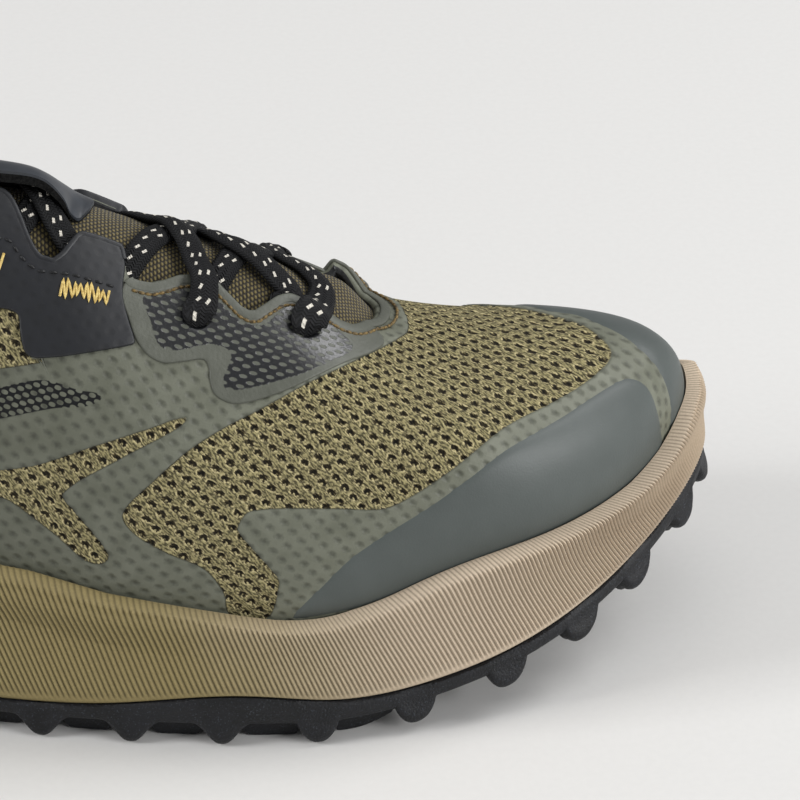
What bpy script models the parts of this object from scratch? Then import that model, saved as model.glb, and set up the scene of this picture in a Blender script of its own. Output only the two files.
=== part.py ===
"""Low-cut hiking shoe for the right foot, standing empty on its sole.

The heel is at x = 0, the toe points to +x, the outer side of the foot is at -y and the floor at z = 0,
until the last step moves the origin to the middle of the box's underside.
Sizes are in millimetres. add_solid() turns them into metres.
"""

import math
from collections import namedtuple

import bmesh
import bpy
import numpy as np

MM = 0.001

# Driving dimensions of the last and its sole
LENGTH = 285.5
BALL_WIDTH = 105.0
INSTEP_HEIGHT = 115.0
HEEL_HEIGHT = 99.0

# Walls and clearances
GAP = 0.3
UPPER_WALL = 2.2
COLLAR_PAD = 5.0
PAD_END = 3.3
PAD_FADE = 0.8
RIM_WIDTH = 5.5
INSOLE_GAP = 0.5
INSOLE_THICKNESS = 4.0
GUARD_THICKNESS = 1.2
PANEL_THICKNESS = 0.9
PANEL_GAP = 0.4
GUARD_GAP = 0.6

# Ground line: flat from heel to ball, a bevel behind, a shallow arch and the toe spring in front
SPRING_START = 190.0
SPRING_HEIGHT = 30.0
SPRING_POWER = 1.9
HEEL_BEVEL_END = 20.0
HEEL_BEVEL_HEIGHT = 5.0
ARCH_MIDDLE = 94.0
ARCH_HALF_LENGTH = 26.0
ARCH_HEIGHT = 3.0
LUG_HEIGHT = 5.0
LUG_ROOT = 1.5

COLUMNS = 60
UPPER_ROWS = 12
UPPER_INNER_ROWS = 6
GUARD_ROWS = 7
PANEL_ROWS = 3

# One row for each section around the shoe, from the back of the heel along the outer side to the toe
# and back along the inner side.
#   x, y      edge of the sole in plan, in % of the length and of the ball width
#   rim       height of the midsole's rim, in % of the instep height
#   band      height of the outsole's side above the ground line
#   open_x, open_y, open_z   edge of the collar and throat in the same shares; the heel's open_z is in %
#             of the heel height
#   rise, lean   how far the wall climbs and leans out as it leaves the rim
#   run, dip     how far the wall runs out from the opening, and its fall there in degrees
Station = namedtuple("Station", "name x y rim band open_x open_y open_z rise lean run dip")
STATIONS = (
    Station("heel_back", 0.0, 0.0, 38.0, 9.5, 3.2, 0.0, 100.0, 20, 3, 18, 92),
    Station("heel_corner_outer", 4.9, -25.7, 36.6, 9.5, 6.3, -19.0, 95.0, 20, 3, 16, 90),
    Station("heel_outer", 15.8, -36.2, 35.6, 9.5, 16.8, -27.6, 79.8, 14, 2, 12, 86),
    Station("waist_outer", 35.0, -39.5, 37.0, 9.5, 33.6, -21.0, 89.6, 20, 3, 20, 65),
    Station("middle_outer", 49.0, -46.2, 32.6, 9.5, 46.2, -9.5, 100.0, 24, 3, 28, 42),
    Station("ball_outer", 60.9, -50.0, 27.8, 13.0, 54.6, -8.6, 92.0, 24, 3, 30, 36),
    Station("cheek_outer", 68.3, -49.8, 26.4, 11.0, 59.9, -8.6, 87.3, 24, 3, 31, 34),
    Station("forefoot_outer", 76.7, -45.2, 32.7, 9.6, 65.1, -8.6, 82.8, 24, 3, 33, 31),
    Station("toe_outer", 87.2, -34.6, 37.0, 9.6, 70.1, -7.1, 75.4, 26, 3, 38, 25),
    Station("toe_corner_outer", 95.6, -14.3, 39.5, 9.6, 72.2, -1.9, 71.9, 28, 2, 46, 18),
    Station("toe_tip", 100.0, 8.6, 42.6, 9.6, 72.7, 2.9, 71.5, 30, 2, 50, 16),
    Station("toe_corner_inner", 97.7, 26.7, 41.7, 9.6, 72.3, 7.2, 71.6, 28, 2, 42, 22),
    Station("toe_inner", 90.7, 41.0, 37.4, 9.6, 70.1, 10.0, 74.6, 26, 2, 28, 34),
    Station("forefoot_inner", 77.8, 49.0, 31.3, 9.6, 65.1, 10.5, 80.6, 22, 2, 22, 40),
    Station("cheek_inner", 68.7, 49.0, 28.7, 11.0, 59.9, 10.8, 85.2, 22, 2, 22, 42),
    Station("ball_inner", 60.9, 45.2, 29.6, 11.0, 54.6, 11.0, 89.7, 22, 2, 22, 45),
    Station("middle_inner", 48.0, 36.2, 34.8, 9.5, 46.2, 11.4, 98.7, 22, 2, 26, 46),
    Station("waist_inner", 35.0, 32.4, 37.6, 9.5, 33.6, 22.9, 90.4, 18, 2, 18, 66),
    Station("heel_inner", 15.8, 35.2, 36.0, 9.5, 16.8, 27.6, 80.8, 14, 2, 12, 86),
    Station("heel_corner_inner", 4.9, 24.8, 36.6, 9.5, 6.3, 19.0, 95.0, 20, 3, 16, 90),
)

# Footbed under the insole: height along the length
Bed = namedtuple("Bed", "x z")
FOOTBED = (
    Bed(0, 34), Bed(60, 31), Bed(110, 27), Bed(160, 22.5),
    Bed(200, 22), Bed(235, 26), Bed(262, 33), Bed(286, 42),
)

# Side of the midsole from the joint with the outsole up to the rim: share of the height, and how far
# the wall stands in from the widest outline
Wall = namedtuple("Wall", "height inset")
MIDSOLE_SIDE = (Wall(0.0, 0.8), Wall(0.16, 0.1), Wall(0.5, 1.1), Wall(0.84, 0.0), Wall(0.93, 1.0))

# Tread: where the edge lugs sit around the sole, as places in the table of stations, and the lugs' sections
EDGE_LUGS = (0.36, 1.0, 1.5, 1.95, 2.35, 2.75, 3.14, 3.69, 4.24, 4.86, 5.82, 6.78, 7.54, 8.17, 8.74, 9.38)
TOE_LUG = 9.98
LugSection = namedtuple("LugSection", "height half_length depth proud")
LUG_SECTIONS = (
    LugSection(LUG_HEIGHT + LUG_ROOT, 8.2, 17.0, 0.4),
    LugSection(LUG_HEIGHT * 0.5, 4.6, 15.0, 0.6),
    LugSection(0.0, 2.9, 12.5, 0.1),
)
CENTRE_LUG_FIRST = 26.0
CENTRE_LUG_LAST = 262.0
CENTRE_LUG_PITCH = 21.5
CENTRE_LUG_SPREAD = 0.13
CENTRE_LUG_SWEEP = 6.0
CENTRE_LUG_HALF = (4.6, 7.2)
CENTRE_LUG_TAPER = 0.78

# Tongue: crown height, half width, curve across and thickness along the length
Tongue = namedtuple("Tongue", "x crown half_width curve thickness")
TONGUE_MIDDLE = 0.0
TONGUE_SECTIONS = 14
TONGUE_POINTS_ACROSS = 9
TONGUE = (
    Tongue(219, 72.0, 8, 0.040, 1.6),
    Tongue(208, 76.4, 12, 0.040, 2.0),
    Tongue(200, 81.8, 15, 0.036, 2.6),
    Tongue(186, 91.2, 19, 0.034, 3.2),
    Tongue(171, 97.2, 21, 0.033, 3.8),
    Tongue(156, 102.4, 22, 0.035, 4.2),
    Tongue(132, 112.0, 22, 0.042, 4.6),
    Tongue(120, 116.4, 22, 0.050, 5.0),
    Tongue(108, 121.5, 21, 0.066, 5.0),
    Tongue(98, 127.5, 18, 0.086, 5.0),
    Tongue(91, 133.0, 16, 0.075, 4.4),
    Tongue(88, 135.5, 11, 0.060, 3.2),
)

# Overlays on the upper: lower and upper edge, as shares of the way from the rim to the opening, at places
# in the table of stations
Edge = namedtuple("Edge", "place low high")
TOE_GUARD_OUTER = (
    Edge(5.62, 0.015, 0.045), Edge(6.3, 0.015, 0.19), Edge(7.14, 0.015, 0.27), Edge(8.02, 0.015, 0.42),
    Edge(8.75, 0.015, 0.456), Edge(9.18, 0.015, 0.43), Edge(9.38, 0.015, 0.34),
)
TOE_GUARD_INNER = (
    Edge(9.56, 0.015, 0.24), Edge(9.7, 0.015, 0.33), Edge(9.84, 0.015, 0.39), Edge(10.08, 0.015, 0.46),
    Edge(10.32, 0.015, 0.525), Edge(10.68, 0.015, 0.62), Edge(11.3, 0.015, 0.56), Edge(11.98, 0.015, 0.42),
    Edge(12.86, 0.015, 0.27), Edge(13.7, 0.015, 0.19), Edge(14.38, 0.015, 0.045),
)
FRONT_PANEL = (
    Edge(4.70, 0.85, 0.985), Edge(4.78, 0.755, 0.985), Edge(4.9, 0.72, 0.985), Edge(5.5, 0.75, 0.985),
    Edge(5.58, 0.67, 0.985), Edge(5.75, 0.65, 0.985), Edge(6.03, 0.667, 0.985), Edge(7.0, 0.77, 0.985),
    Edge(8.38, 0.92, 0.985),
)
SADDLE_PANEL = (
    Edge(3.42, 0.84, 0.985), Edge(3.68, 0.785, 0.985), Edge(3.74, 0.7, 0.985), Edge(3.8, 0.652, 0.985),
    Edge(4.13, 0.656, 0.985), Edge(4.64, 0.72, 0.985),
)

# Scallops between the lace tabs, on the edge of the throat, and the lace holes in the tabs
Notch = namedtuple("Notch", "place half_length half_depth")
NOTCHES = (Notch(8.1, 6.5, 2.4), Notch(6.5, 8.0, 6.0), Notch(5.07, 7.5, 6.0), Notch(4.03, 7.5, 9.5))
Hole = namedtuple("Hole", "place share")
LACE_HOLES = (Hole(7.17, 0.90), Hole(5.62, 0.87), Hole(3.42, 0.93))
LACE_HOLE_RADIUS = 2.3
CUTTER_SIDES = 12
CUTTER_REACH = 7.0

# Flat lace
LACE_WIDTH = 6.2
LACE_THICKNESS = 2.4
LACE_SIDES = 6
LACE_STEPS = 10
LACE_LIFT_ON_TAB = 3.0
LACE_LIFT_IN_NOTCH = 0.7
LACE_LIFT_ON_TONGUE = 1.9
LACE_STACK = 2.6

# Strap on the tongue that holds the lace down
KEEPER_BACK = 101.0
KEEPER_FRONT = 145.0
KEEPER_HALF_WIDTH = 7.0
KEEPER_THICKNESS = 1.2
KEEPER_ARCH = 7.8
KEEPER_SECTIONS = 11
KEEPER_POINTS_ACROSS = 5

Finish = namedtuple("Finish", "colour roughness")
FINISHES = {
    "outsole_rubber": Finish((0.018, 0.019, 0.021), 0.75),
    "midsole_foam": Finish((0.40, 0.32, 0.20), 0.8),
    "insole_foam": Finish((0.05, 0.05, 0.05), 0.9),
    "knit": Finish((0.20, 0.17, 0.08), 0.9),
    "tongue_cloth": Finish((0.11, 0.09, 0.04), 0.9),
    "guard_film": Finish((0.075, 0.092, 0.083), 0.5),
    "panel_film": Finish((0.09, 0.095, 0.08), 0.45),
    "saddle_film": Finish((0.03, 0.032, 0.04), 0.5),
    "lace_cord": Finish((0.012, 0.012, 0.013), 0.85),
}


def spline_around(knots, values, at):
    """Smooth closed curve through values at knots between 0 and 1, read at the places given."""
    count = len(knots)
    steps = np.diff(np.append(knots, knots[0] + 1))
    matrix = np.zeros((count, count))
    right = np.zeros_like(values)
    for i in range(count):
        before, after = steps[i - 1], steps[i]
        matrix[i, i - 1] += before / 6
        matrix[i, i] += (before + after) / 3
        matrix[i, (i + 1) % count] += after / 6
        right[i] = (values[(i + 1) % count] - values[i]) / after - (values[i] - values[i - 1]) / before
    bends = np.linalg.solve(matrix, right)
    at = np.mod(at, 1.0)
    low = np.searchsorted(knots, at, side="right") - 1
    high = (low + 1) % count
    step = steps[low][:, None]
    b = (at - knots[low])[:, None] / step
    a = 1 - b
    bulge = (a**3 - a) * bends[low] + (b**3 - b) * bends[high]
    return a * values[low] + b * values[high] + bulge * step**2 / 6


def spline_along(table_x, table_y, at):
    """Smooth open curve through a short table: cubic pieces whose slopes are taken from the neighbours."""
    slopes = np.gradient(table_y, table_x)
    at = np.clip(at, table_x[0], table_x[-1])
    low = np.clip(np.searchsorted(table_x, at, side="right") - 1, 0, len(table_x) - 2)
    step = table_x[low + 1] - table_x[low]
    t = (at - table_x[low]) / step
    start = (2 * t**3 - 3 * t**2 + 1) * table_y[low] + (t**3 - 2 * t**2 + t) * step * slopes[low]
    end = (3 * t**2 - 2 * t**3) * table_y[low + 1] + (t**3 - t**2) * step * slopes[low + 1]
    return start + end


def station_rows():
    """The table in millimetres, and the place of each row around the shoe, the same on both sides."""
    rows = []
    for row in STATIONS:
        height = HEEL_HEIGHT if row.name.startswith("heel") else INSTEP_HEIGHT
        plan = (row.x * LENGTH / 100, row.y * BALL_WIDTH / 100, row.rim * INSTEP_HEIGHT / 100, row.band)
        opening = (row.open_x * LENGTH / 100, row.open_y * BALL_WIDTH / 100, row.open_z * height / 100)
        rows.append(plan + opening + tuple(row[8:]))
    rows = np.array(rows, float)
    chords = np.linalg.norm(np.roll(rows[:, :2], -1, axis=0) - rows[:, :2], axis=1)
    chords = (chords + chords[::-1]) / 2
    knots = np.concatenate([[0], np.cumsum(chords)[:-1]]) / chords.sum()
    return rows, knots


ROWS, KNOTS = station_rows()
AROUND = (np.arange(COLUMNS) + 0.5) / COLUMNS


def around_at(place):
    """Turns a place in the table, such as 4.5 for half way from row 4 to row 5, into a share of the loop."""
    return np.interp(place, np.arange(len(STATIONS) + 1), np.append(KNOTS, 1.0))


def outward(tangent):
    """Unit vectors in plan that point out of a loop run from heel to outer side to toe."""
    normal = np.stack([tangent[:, 1], -tangent[:, 0], np.zeros(len(tangent))], axis=1)
    return normal / np.linalg.norm(normal, axis=1, keepdims=True)


def loops_at(around):
    """Interpolated table rows, and the outward directions of the sole's edge and of the opening."""
    small = 1e-4
    values = spline_around(KNOTS, ROWS, around)
    change = spline_around(KNOTS, ROWS, around + small) - spline_around(KNOTS, ROWS, around - small)
    return values, outward(change[:, 0:2]), outward(change[:, 4:6])


def ground(x):
    """Height of the lug tips above the floor."""
    spring = SPRING_HEIGHT * (np.clip(x - SPRING_START, 0, None) / (LENGTH - SPRING_START)) ** SPRING_POWER
    bevel = HEEL_BEVEL_HEIGHT * (np.clip(HEEL_BEVEL_END - x, 0, None) / HEEL_BEVEL_END) ** 2
    inside = np.clip(1 - ((x - ARCH_MIDDLE) / ARCH_HALF_LENGTH) ** 2, 0, None)
    return spring + bevel + ARCH_HEIGHT * inside**2


def footbed(x):
    places = np.array([row.x for row in FOOTBED], float)
    return spline_along(places, np.array([row.z for row in FOOTBED], float), x)


def sole_ring(inset, height, around=AROUND):
    """Ring at a distance inside the sole's edge; height is a function of the plan points and table rows."""
    values, edge_out, _ = loops_at(around)
    ring = np.concatenate([values[:, :2], np.zeros((len(values), 1))], axis=1) - inset * edge_out
    ring[:, 2] = height(ring, values)
    return ring


def joint_height(ring, values):
    """Line between midsole and outsole."""
    return ground(values[:, 0]) + values[:, 3]


def upper_surface(around, share):
    """Outer face of the upper: one cubic curve for each place around, from the rim to the opening."""
    values, edge_out, open_out = loops_at(around)
    up = np.array([0.0, 0.0, 1.0])
    foot = np.concatenate([values[:, :2], values[:, 2:3]], axis=1) - RIM_WIDTH * edge_out
    rise, lean, run = values[:, 7:8], values[:, 8:9], values[:, 9:10]
    dip = np.radians(values[:, 10:11])
    opening = values[:, 4:7]
    low = foot + rise * up + lean * edge_out
    high = opening + run * (np.cos(dip) * open_out - np.sin(dip) * up)
    t = np.asarray(share, float)
    t = (t if t.ndim == 2 else np.broadcast_to(t, (len(values), len(t))))[:, :, None]
    a, b, c, d = (point[:, None, :] for point in (foot, low, high, opening))
    return (1 - t) ** 3 * a + 3 * (1 - t) ** 2 * t * b + 3 * (1 - t) * t**2 * c + t**3 * d


def upper_normals(around, share):
    small = 1e-4
    share = np.asarray(share, float)
    if share.ndim == 1:
        share = np.broadcast_to(share, (len(around), len(share)))
    along = upper_surface(around + small, share) - upper_surface(around - small, share)
    climb = upper_surface(around, share + small) - upper_surface(around, share - small)
    normal = np.cross(along, climb)
    return normal / np.linalg.norm(normal, axis=2, keepdims=True)


def upper_offset(around, share, distance):
    return upper_surface(around, share) + upper_normals(around, share) * distance


def upper_frame(place, share):
    """Point, outward normal, direction along the opening and direction up the wall at one spot."""
    around = np.array([around_at(place)])
    spot = np.array([[share]])
    small = 1e-4
    point = upper_surface(around, spot)[0, 0]
    normal = upper_normals(around, spot)[0, 0]
    along = (upper_surface(around + small, spot) - upper_surface(around - small, spot))[0, 0]
    along /= np.linalg.norm(along)
    return point, normal, along, np.cross(normal, along)


def finish_material(finish):
    """Principled material of this name, made on first use."""
    material = bpy.data.materials.get(finish)
    if material is None:
        material = bpy.data.materials.new(finish)
        material.use_nodes = True
        shader = material.node_tree.nodes["Principled BSDF"]
        shader.inputs["Base Color"].default_value = (*FINISHES[finish].colour, 1.0)
        shader.inputs["Roughness"].default_value = FINISHES[finish].roughness
    return material


def add_solid(name, points, faces, finish=None):
    """Mesh object in metres with its faces pointing out. With no finish it is a helper and stays hidden."""
    mesh = bpy.data.meshes.new(name)
    mesh.from_pydata([tuple(point) for point in np.asarray(points) * MM], [], faces)
    work = bmesh.new()
    work.from_mesh(mesh)
    bmesh.ops.recalc_face_normals(work, faces=work.faces)
    work.to_mesh(mesh)
    work.free()
    mesh.shade_smooth()
    mesh.set_sharp_from_angle(angle=math.radians(35))
    shape = bpy.data.objects.new(name, mesh)
    bpy.context.scene.collection.objects.link(shape)
    if finish:
        mesh.materials.append(finish_material(finish))
    else:
        shape.hide_render = True
        shape.display_type = "WIRE"
    return shape


def loft_faces(sections, wrap):
    """Faces through closed sections of equal count. Ends that don't wrap are filled straight across."""
    rows, count = sections.shape[:2]
    faces = []
    for i in range(rows if wrap else rows - 1):
        here, there = i * count, (i + 1) % rows * count
        for j in range(count):
            k = (j + 1) % count
            faces.append((here + j, here + k, there + k, there + j))
    if not wrap:
        for end in (0, (rows - 1) * count):
            for j in range(count // 2 - 1):
                faces.append((end + j, end + j + 1, end + count - 2 - j, end + count - 1 - j))
    return faces


def loft(name, sections, finish, wrap=False):
    sections = np.asarray(sections)
    return add_solid(name, sections.reshape(-1, 3), loft_faces(sections, wrap), finish)


def join_helpers(name, shapes):
    """One hidden helper from several separate lofts, for a single Boolean."""
    points, faces = [], []
    for sections in shapes:
        sections = np.asarray(sections)
        faces += [tuple(index + len(points) for index in face) for face in loft_faces(sections, False)]
        points += list(sections.reshape(-1, 3))
    return add_solid(name, points, faces)


def boolean(shape, helper, operation):
    modifier = shape.modifiers.new(helper.name, "BOOLEAN")
    modifier.operation = operation
    modifier.solver = "EXACT"
    modifier.use_self = operation == "UNION"
    modifier.object = helper


def make_midsole():
    """Cupped foam midsole: joint, side wall, sloped rim, inner wall and footbed."""
    def at_share(share):
        return lambda ring, values: joint_height(ring, values) * (1 - share) + values[:, 2] * share

    rings = [sole_ring(wall.inset, at_share(wall.height)) for wall in MIDSOLE_SIDE]
    rings.append(sole_ring(RIM_WIDTH - GAP, at_share(1.0)))
    rings.append(sole_ring(RIM_WIDTH - GAP, lambda ring, values: footbed(ring[:, 0])))
    rings.append(insole_ring(0.0))
    loft("midsole", rings, "midsole_foam")


def insole_ring(lift):
    inset = RIM_WIDTH + UPPER_WALL + INSOLE_GAP
    return sole_ring(inset, lambda ring, values: footbed(ring[:, 0]) + lift)


def make_insole():
    loft("insole", [insole_ring(GAP), insole_ring(GAP + INSOLE_THICKNESS)], "insole_foam")


def edge_lug(place):
    """Tapered lug at the sole's edge; its outer face follows the side band."""
    values, edge_out, _ = loops_at(np.array([around_at(place)]))
    centre = np.array([values[0, 0], values[0, 1], 0.0])
    out = edge_out[0]
    along = np.array([-out[1], out[0], 0.0])
    sections = []
    for row in LUG_SECTIONS:
        corners = []
        for side, inward in ((-0.62, -row.proud), (0.62, -row.proud), (1.0, 2.0), (0.8, row.depth),
                             (-0.8, row.depth), (-1.0, 2.0)):
            corner = centre + along * row.half_length * side - out * inward
            corner[2] = ground(corner[0]) + row.height
            corners.append(corner)
        sections.append(corners)
    return sections


def centre_lug(x, side):
    """Slanted lug beside the middle line, half of a chevron."""
    low = np.array([np.interp(x, ROWS[:11, 0], ROWS[:11, 1]), np.interp(x, ROWS[:9:-1, 0], ROWS[:9:-1, 1])])
    middle = low.mean()
    width = low[1] - low[0]
    half_x, half_y = CENTRE_LUG_HALF
    half_y = min(half_y, width * 0.09)
    sections = []
    for height, taper in ((LUG_HEIGHT + LUG_ROOT, 1.0), (0.0, CENTRE_LUG_TAPER)):
        corners = []
        for dx, dy in ((-1, -1), (1, -1), (1, 1), (-1, 1)):
            y = middle + side * (width * CENTRE_LUG_SPREAD) + dy * half_y * taper
            shift = CENTRE_LUG_SWEEP * side * dy * taper / 2
            corner_x = x + dx * half_x * taper - shift
            corners.append((corner_x, y, ground(corner_x) + height))
        sections.append(corners)
    return sections


def make_outsole():
    """Rubber outsole: side band, plate and tread."""
    def plate_height(ring, values):
        return ground(values[:, 0]) + LUG_HEIGHT

    rings = [
        sole_ring(MIDSOLE_SIDE[0].inset, lambda ring, values: joint_height(ring, values) - GAP),
        sole_ring(0.0, lambda ring, values: (joint_height(ring, values) + plate_height(ring, values)) / 2),
        sole_ring(0.4, plate_height),
    ]
    outsole = loft("outsole", rings, "outsole_rubber")
    places = list(EDGE_LUGS) + [TOE_LUG] + [len(STATIONS) - place for place in EDGE_LUGS]
    lugs = [edge_lug(place) for place in places]
    for x in np.arange(CENTRE_LUG_FIRST, CENTRE_LUG_LAST, CENTRE_LUG_PITCH):
        lugs += [centre_lug(x, side) for side in (-1, 1)]
    boolean(outsole, join_helpers("tread_lugs", lugs), "UNION")


def throat_cutters():
    """Scallops and lace holes of both sides, as prisms through the wall."""
    turns = np.arange(CUTTER_SIDES) * 2 * math.pi / CUTTER_SIDES
    spots = [(notch.place, 1.0, notch.half_length, notch.half_depth) for notch in NOTCHES]
    spots += [(hole.place, hole.share, LACE_HOLE_RADIUS, LACE_HOLE_RADIUS) for hole in LACE_HOLES]
    cutters = []
    for place, share, half_length, half_depth in spots:
        for spot in (place, len(STATIONS) - place):
            point, normal, along, climb = upper_frame(spot, share)
            oval = half_length * np.outer(np.cos(turns), along) + half_depth * np.outer(np.sin(turns), climb)
            cutters.append([point + oval + normal * reach for reach in (-CUTTER_REACH, CUTTER_REACH)])
    return join_helpers("throat_cuts", cutters)


def collar_padding(around, share):
    """Extra wall under the rolled collar, fading out towards the lace tabs and down the wall."""
    places = np.interp(around, np.append(KNOTS, 1.0), np.arange(len(STATIONS) + 1))
    from_heel = np.minimum(places, len(STATIONS) - places)
    behind = np.clip((PAD_END - from_heel) / PAD_FADE, 0, 1)
    high = np.clip((share - 0.55) / 0.3, 0, 1)
    return COLLAR_PAD * np.outer(behind, high**2 * (3 - 2 * high))


def make_upper(cutters):
    """Hollow upper: knit wall from the footbed up to the collar and throat, padded at the collar."""
    share = np.linspace(0, 1, UPPER_ROWS + 1)
    inner_share = np.linspace(1, 0, UPPER_INNER_ROWS + 1)
    outer = upper_surface(AROUND, share)
    wall = UPPER_WALL + collar_padding(AROUND, inner_share)
    inner = upper_surface(AROUND, inner_share) - upper_normals(AROUND, inner_share) * wall[:, :, None]
    crest = (outer[:, -1] + inner[:, 0]) / 2
    climb = outer[:, -1] - outer[:, -2]
    climb /= np.linalg.norm(climb, axis=1, keepdims=True)
    crest += climb * (wall[:, :1] * 0.3)
    foot_out = sole_ring(RIM_WIDTH, lambda ring, values: footbed(ring[:, 0]) + GAP)
    foot_in = sole_ring(RIM_WIDTH + UPPER_WALL, lambda ring, values: footbed(ring[:, 0]) + GAP)
    sections = np.concatenate(
        [foot_out[:, None], outer, crest[:, None], inner[:, :-1], foot_in[:, None]], axis=1
    )
    boolean(loft("upper", sections, "knit", wrap=True), cutters, "DIFFERENCE")


def tongue_value(column, x):
    rows = TONGUE[::-1]
    return spline_along(np.array([row.x for row in rows], float),
                        np.array([getattr(row, column) for row in rows], float), x)


def tongue_top(x, y):
    return tongue_value("crown", x) - tongue_value("curve", x) * (y - TONGUE_MIDDLE) ** 2


def make_tongue():
    """Padded tongue: a strip curved over the instep, tucked under the throat's edges."""
    across = np.linspace(-1, 1, TONGUE_POINTS_ACROSS)
    sections = []
    for x in np.concatenate([np.linspace(TONGUE[0].x, TONGUE[-2].x, TONGUE_SECTIONS), [TONGUE[-1].x]]):
        station = np.full_like(across, x)
        y = TONGUE_MIDDLE + across * tongue_value("half_width", station)
        top = np.stack([station, y, tongue_top(station, y)], axis=1)
        depth = tongue_value("thickness", station) * (1 - 0.65 * across**4)
        under = top - np.stack([np.zeros_like(y), np.zeros_like(y), depth], axis=1)
        sections.append(np.concatenate([top, under[::-1]]))
    loft("tongue", sections, "tongue_cloth")


def overlay(name, edges, finish, thickness, gap, columns, rows, cutters=None):
    """Sheet cut between two offsets of the upper's face, inside the edges given."""
    places = np.array([edge.place for edge in edges])
    around = around_at(columns)
    low = np.interp(columns, places, [edge.low for edge in edges])
    high = np.interp(columns, places, [edge.high for edge in edges])
    share = low[:, None] + (high - low)[:, None] * np.linspace(0, 1, rows + 1)
    top = upper_offset(around, share, gap + thickness)
    under = upper_offset(around, share, gap)
    sections = np.concatenate([under, top[:, ::-1]], axis=1)
    sheet = loft(name, sections, finish)
    if cutters:
        boolean(sheet, cutters, "DIFFERENCE")


def mirrored(edges):
    """The same edges on the other side of the shoe."""
    return tuple(Edge(len(STATIONS) - edge.place, edge.low, edge.high) for edge in reversed(edges))


def make_toe_guards():
    """Smooth film guards around the toe, one from each side, on the columns of the upper."""
    places = np.interp(AROUND, np.append(KNOTS, 1.0), np.arange(len(STATIONS) + 1))
    for name, edges in (("toe_guard_outer", TOE_GUARD_OUTER), ("toe_guard_inner", TOE_GUARD_INNER)):
        first, last = edges[0].place, edges[-1].place
        inside = places[(places > first + 0.1) & (places < last - 0.1)]
        columns = np.sort(np.concatenate([[edge.place for edge in edges], inside]))
        columns = columns[np.append(True, np.diff(columns) > 0.06)]
        overlay(name, edges, "guard_film", GUARD_THICKNESS, GUARD_GAP, columns, GUARD_ROWS)


def make_panels(cutters):
    """Lace panels on both sides of the throat: the front pair and the saddle pair behind it."""
    for name, edges, finish, count in (
        ("front_panel", FRONT_PANEL, "panel_film", 18),
        ("saddle_panel", SADDLE_PANEL, "saddle_film", 10),
    ):
        for side, side_edges in (("outer", edges), ("inner", mirrored(edges))):
            columns = np.linspace(side_edges[0].place, side_edges[-1].place, count)
            full_name = f"{name}_{side}"
            overlay(full_name, side_edges, finish, PANEL_THICKNESS, PANEL_GAP, columns, PANEL_ROWS, cutters)


def smooth_path(points, steps):
    """Smooth curve through a few points: Catmull-Rom, ends repeated."""
    points = np.asarray(points, float)
    padded = np.concatenate([[2 * points[0] - points[1]], points, [2 * points[-1] - points[-2]]])
    path = []
    for t in np.linspace(0, len(points) - 1, steps):
        i = min(int(t), len(points) - 2)
        f = t - i
        a, b, c, d = padded[i : i + 4]
        square = (2 * a - 5 * b + 4 * c - d) * f**2
        cube = (3 * b - a - 3 * c + d) * f**3
        path.append(0.5 * (2 * b + (c - a) * f + square + cube))
    return np.array(path)


def strand_sections(points, normals):
    """Flat oval lace along a path, its broad side facing the normals."""
    path = smooth_path(points, LACE_STEPS)
    facing = smooth_path(normals, LACE_STEPS)
    tangents = np.gradient(path, axis=0)
    tangents /= np.linalg.norm(tangents, axis=1, keepdims=True)
    facing -= tangents * (facing * tangents).sum(axis=1, keepdims=True)
    facing /= np.linalg.norm(facing, axis=1, keepdims=True)
    across = np.cross(tangents, facing)
    turns = (np.arange(LACE_SIDES) + 0.5) * 2 * math.pi / LACE_SIDES
    wide = LACE_WIDTH / 2 * np.cos(turns)[None, :, None] * across[:, None]
    thick = LACE_THICKNESS / 2 * np.sin(turns)[None, :, None] * facing[:, None]
    return path[:, None] + wide + thick


def strand(start, end, on_tab, stack):
    """Lace from a spot on one side of the throat, over the tongue, to a spot on the other side.

    A spot is a place in the table and a share of the wall. A strand on a tab first climbs over the tab.
    """
    ends = []
    for place, share in (start, end):
        lift = LACE_LIFT_ON_TAB if on_tab and share < 0.95 else LACE_LIFT_IN_NOTCH
        point, normal, _, _ = upper_frame(place, share)
        spots = [(point + normal * lift, normal)]
        if share < 0.95:
            lip, lip_normal, _, _ = upper_frame(place, 1.0)
            spots.append((lip + lip_normal * lift, lip_normal))
        ends.append(spots)
    near, far = ends[0][-1][0], ends[1][-1][0]
    middle = (near + far) / 2
    slope = tongue_top(middle[0] + 1, middle[1]) - tongue_top(middle[0] - 1, middle[1])
    middle[2] = max(tongue_top(middle[0], middle[1]) + LACE_LIFT_ON_TONGUE, middle[2]) + stack
    spots = ends[0] + [(middle, np.array([-slope / 2, 0, 1.0]))] + ends[1][::-1]
    return strand_sections([spot[0] for spot in spots], [spot[1] for spot in spots])


def make_lace():
    """Front bar and three crossings, each one solid, clear of tongue, upper and eyelets."""
    def other(spot):
        return (len(STATIONS) - spot[0], spot[1])

    hole_front = (LACE_HOLES[0].place, LACE_HOLES[0].share)
    hole_middle = (LACE_HOLES[1].place, LACE_HOLES[1].share)
    crossings = (
        ("lace_crossing_front", (6.72, 0.985), (6.24, 0.985), False),
        ("lace_crossing_middle", hole_middle, (4.92, 0.985), True),
        ("lace_crossing_rear", (4.16, 0.985), (3.92, 0.985), False),
    )
    loft("lace_bar_front", strand(hole_front, other(hole_front), True, 0.0), "lace_cord")
    for name, start, end, on_tab in crossings:
        under = loft(name, strand(start, other(end), on_tab, 0.0), "lace_cord")
        over = strand(other(start), end, on_tab, LACE_STACK * 0.6)
        boolean(under, join_helpers(name + "_over", [over]), "UNION")


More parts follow.
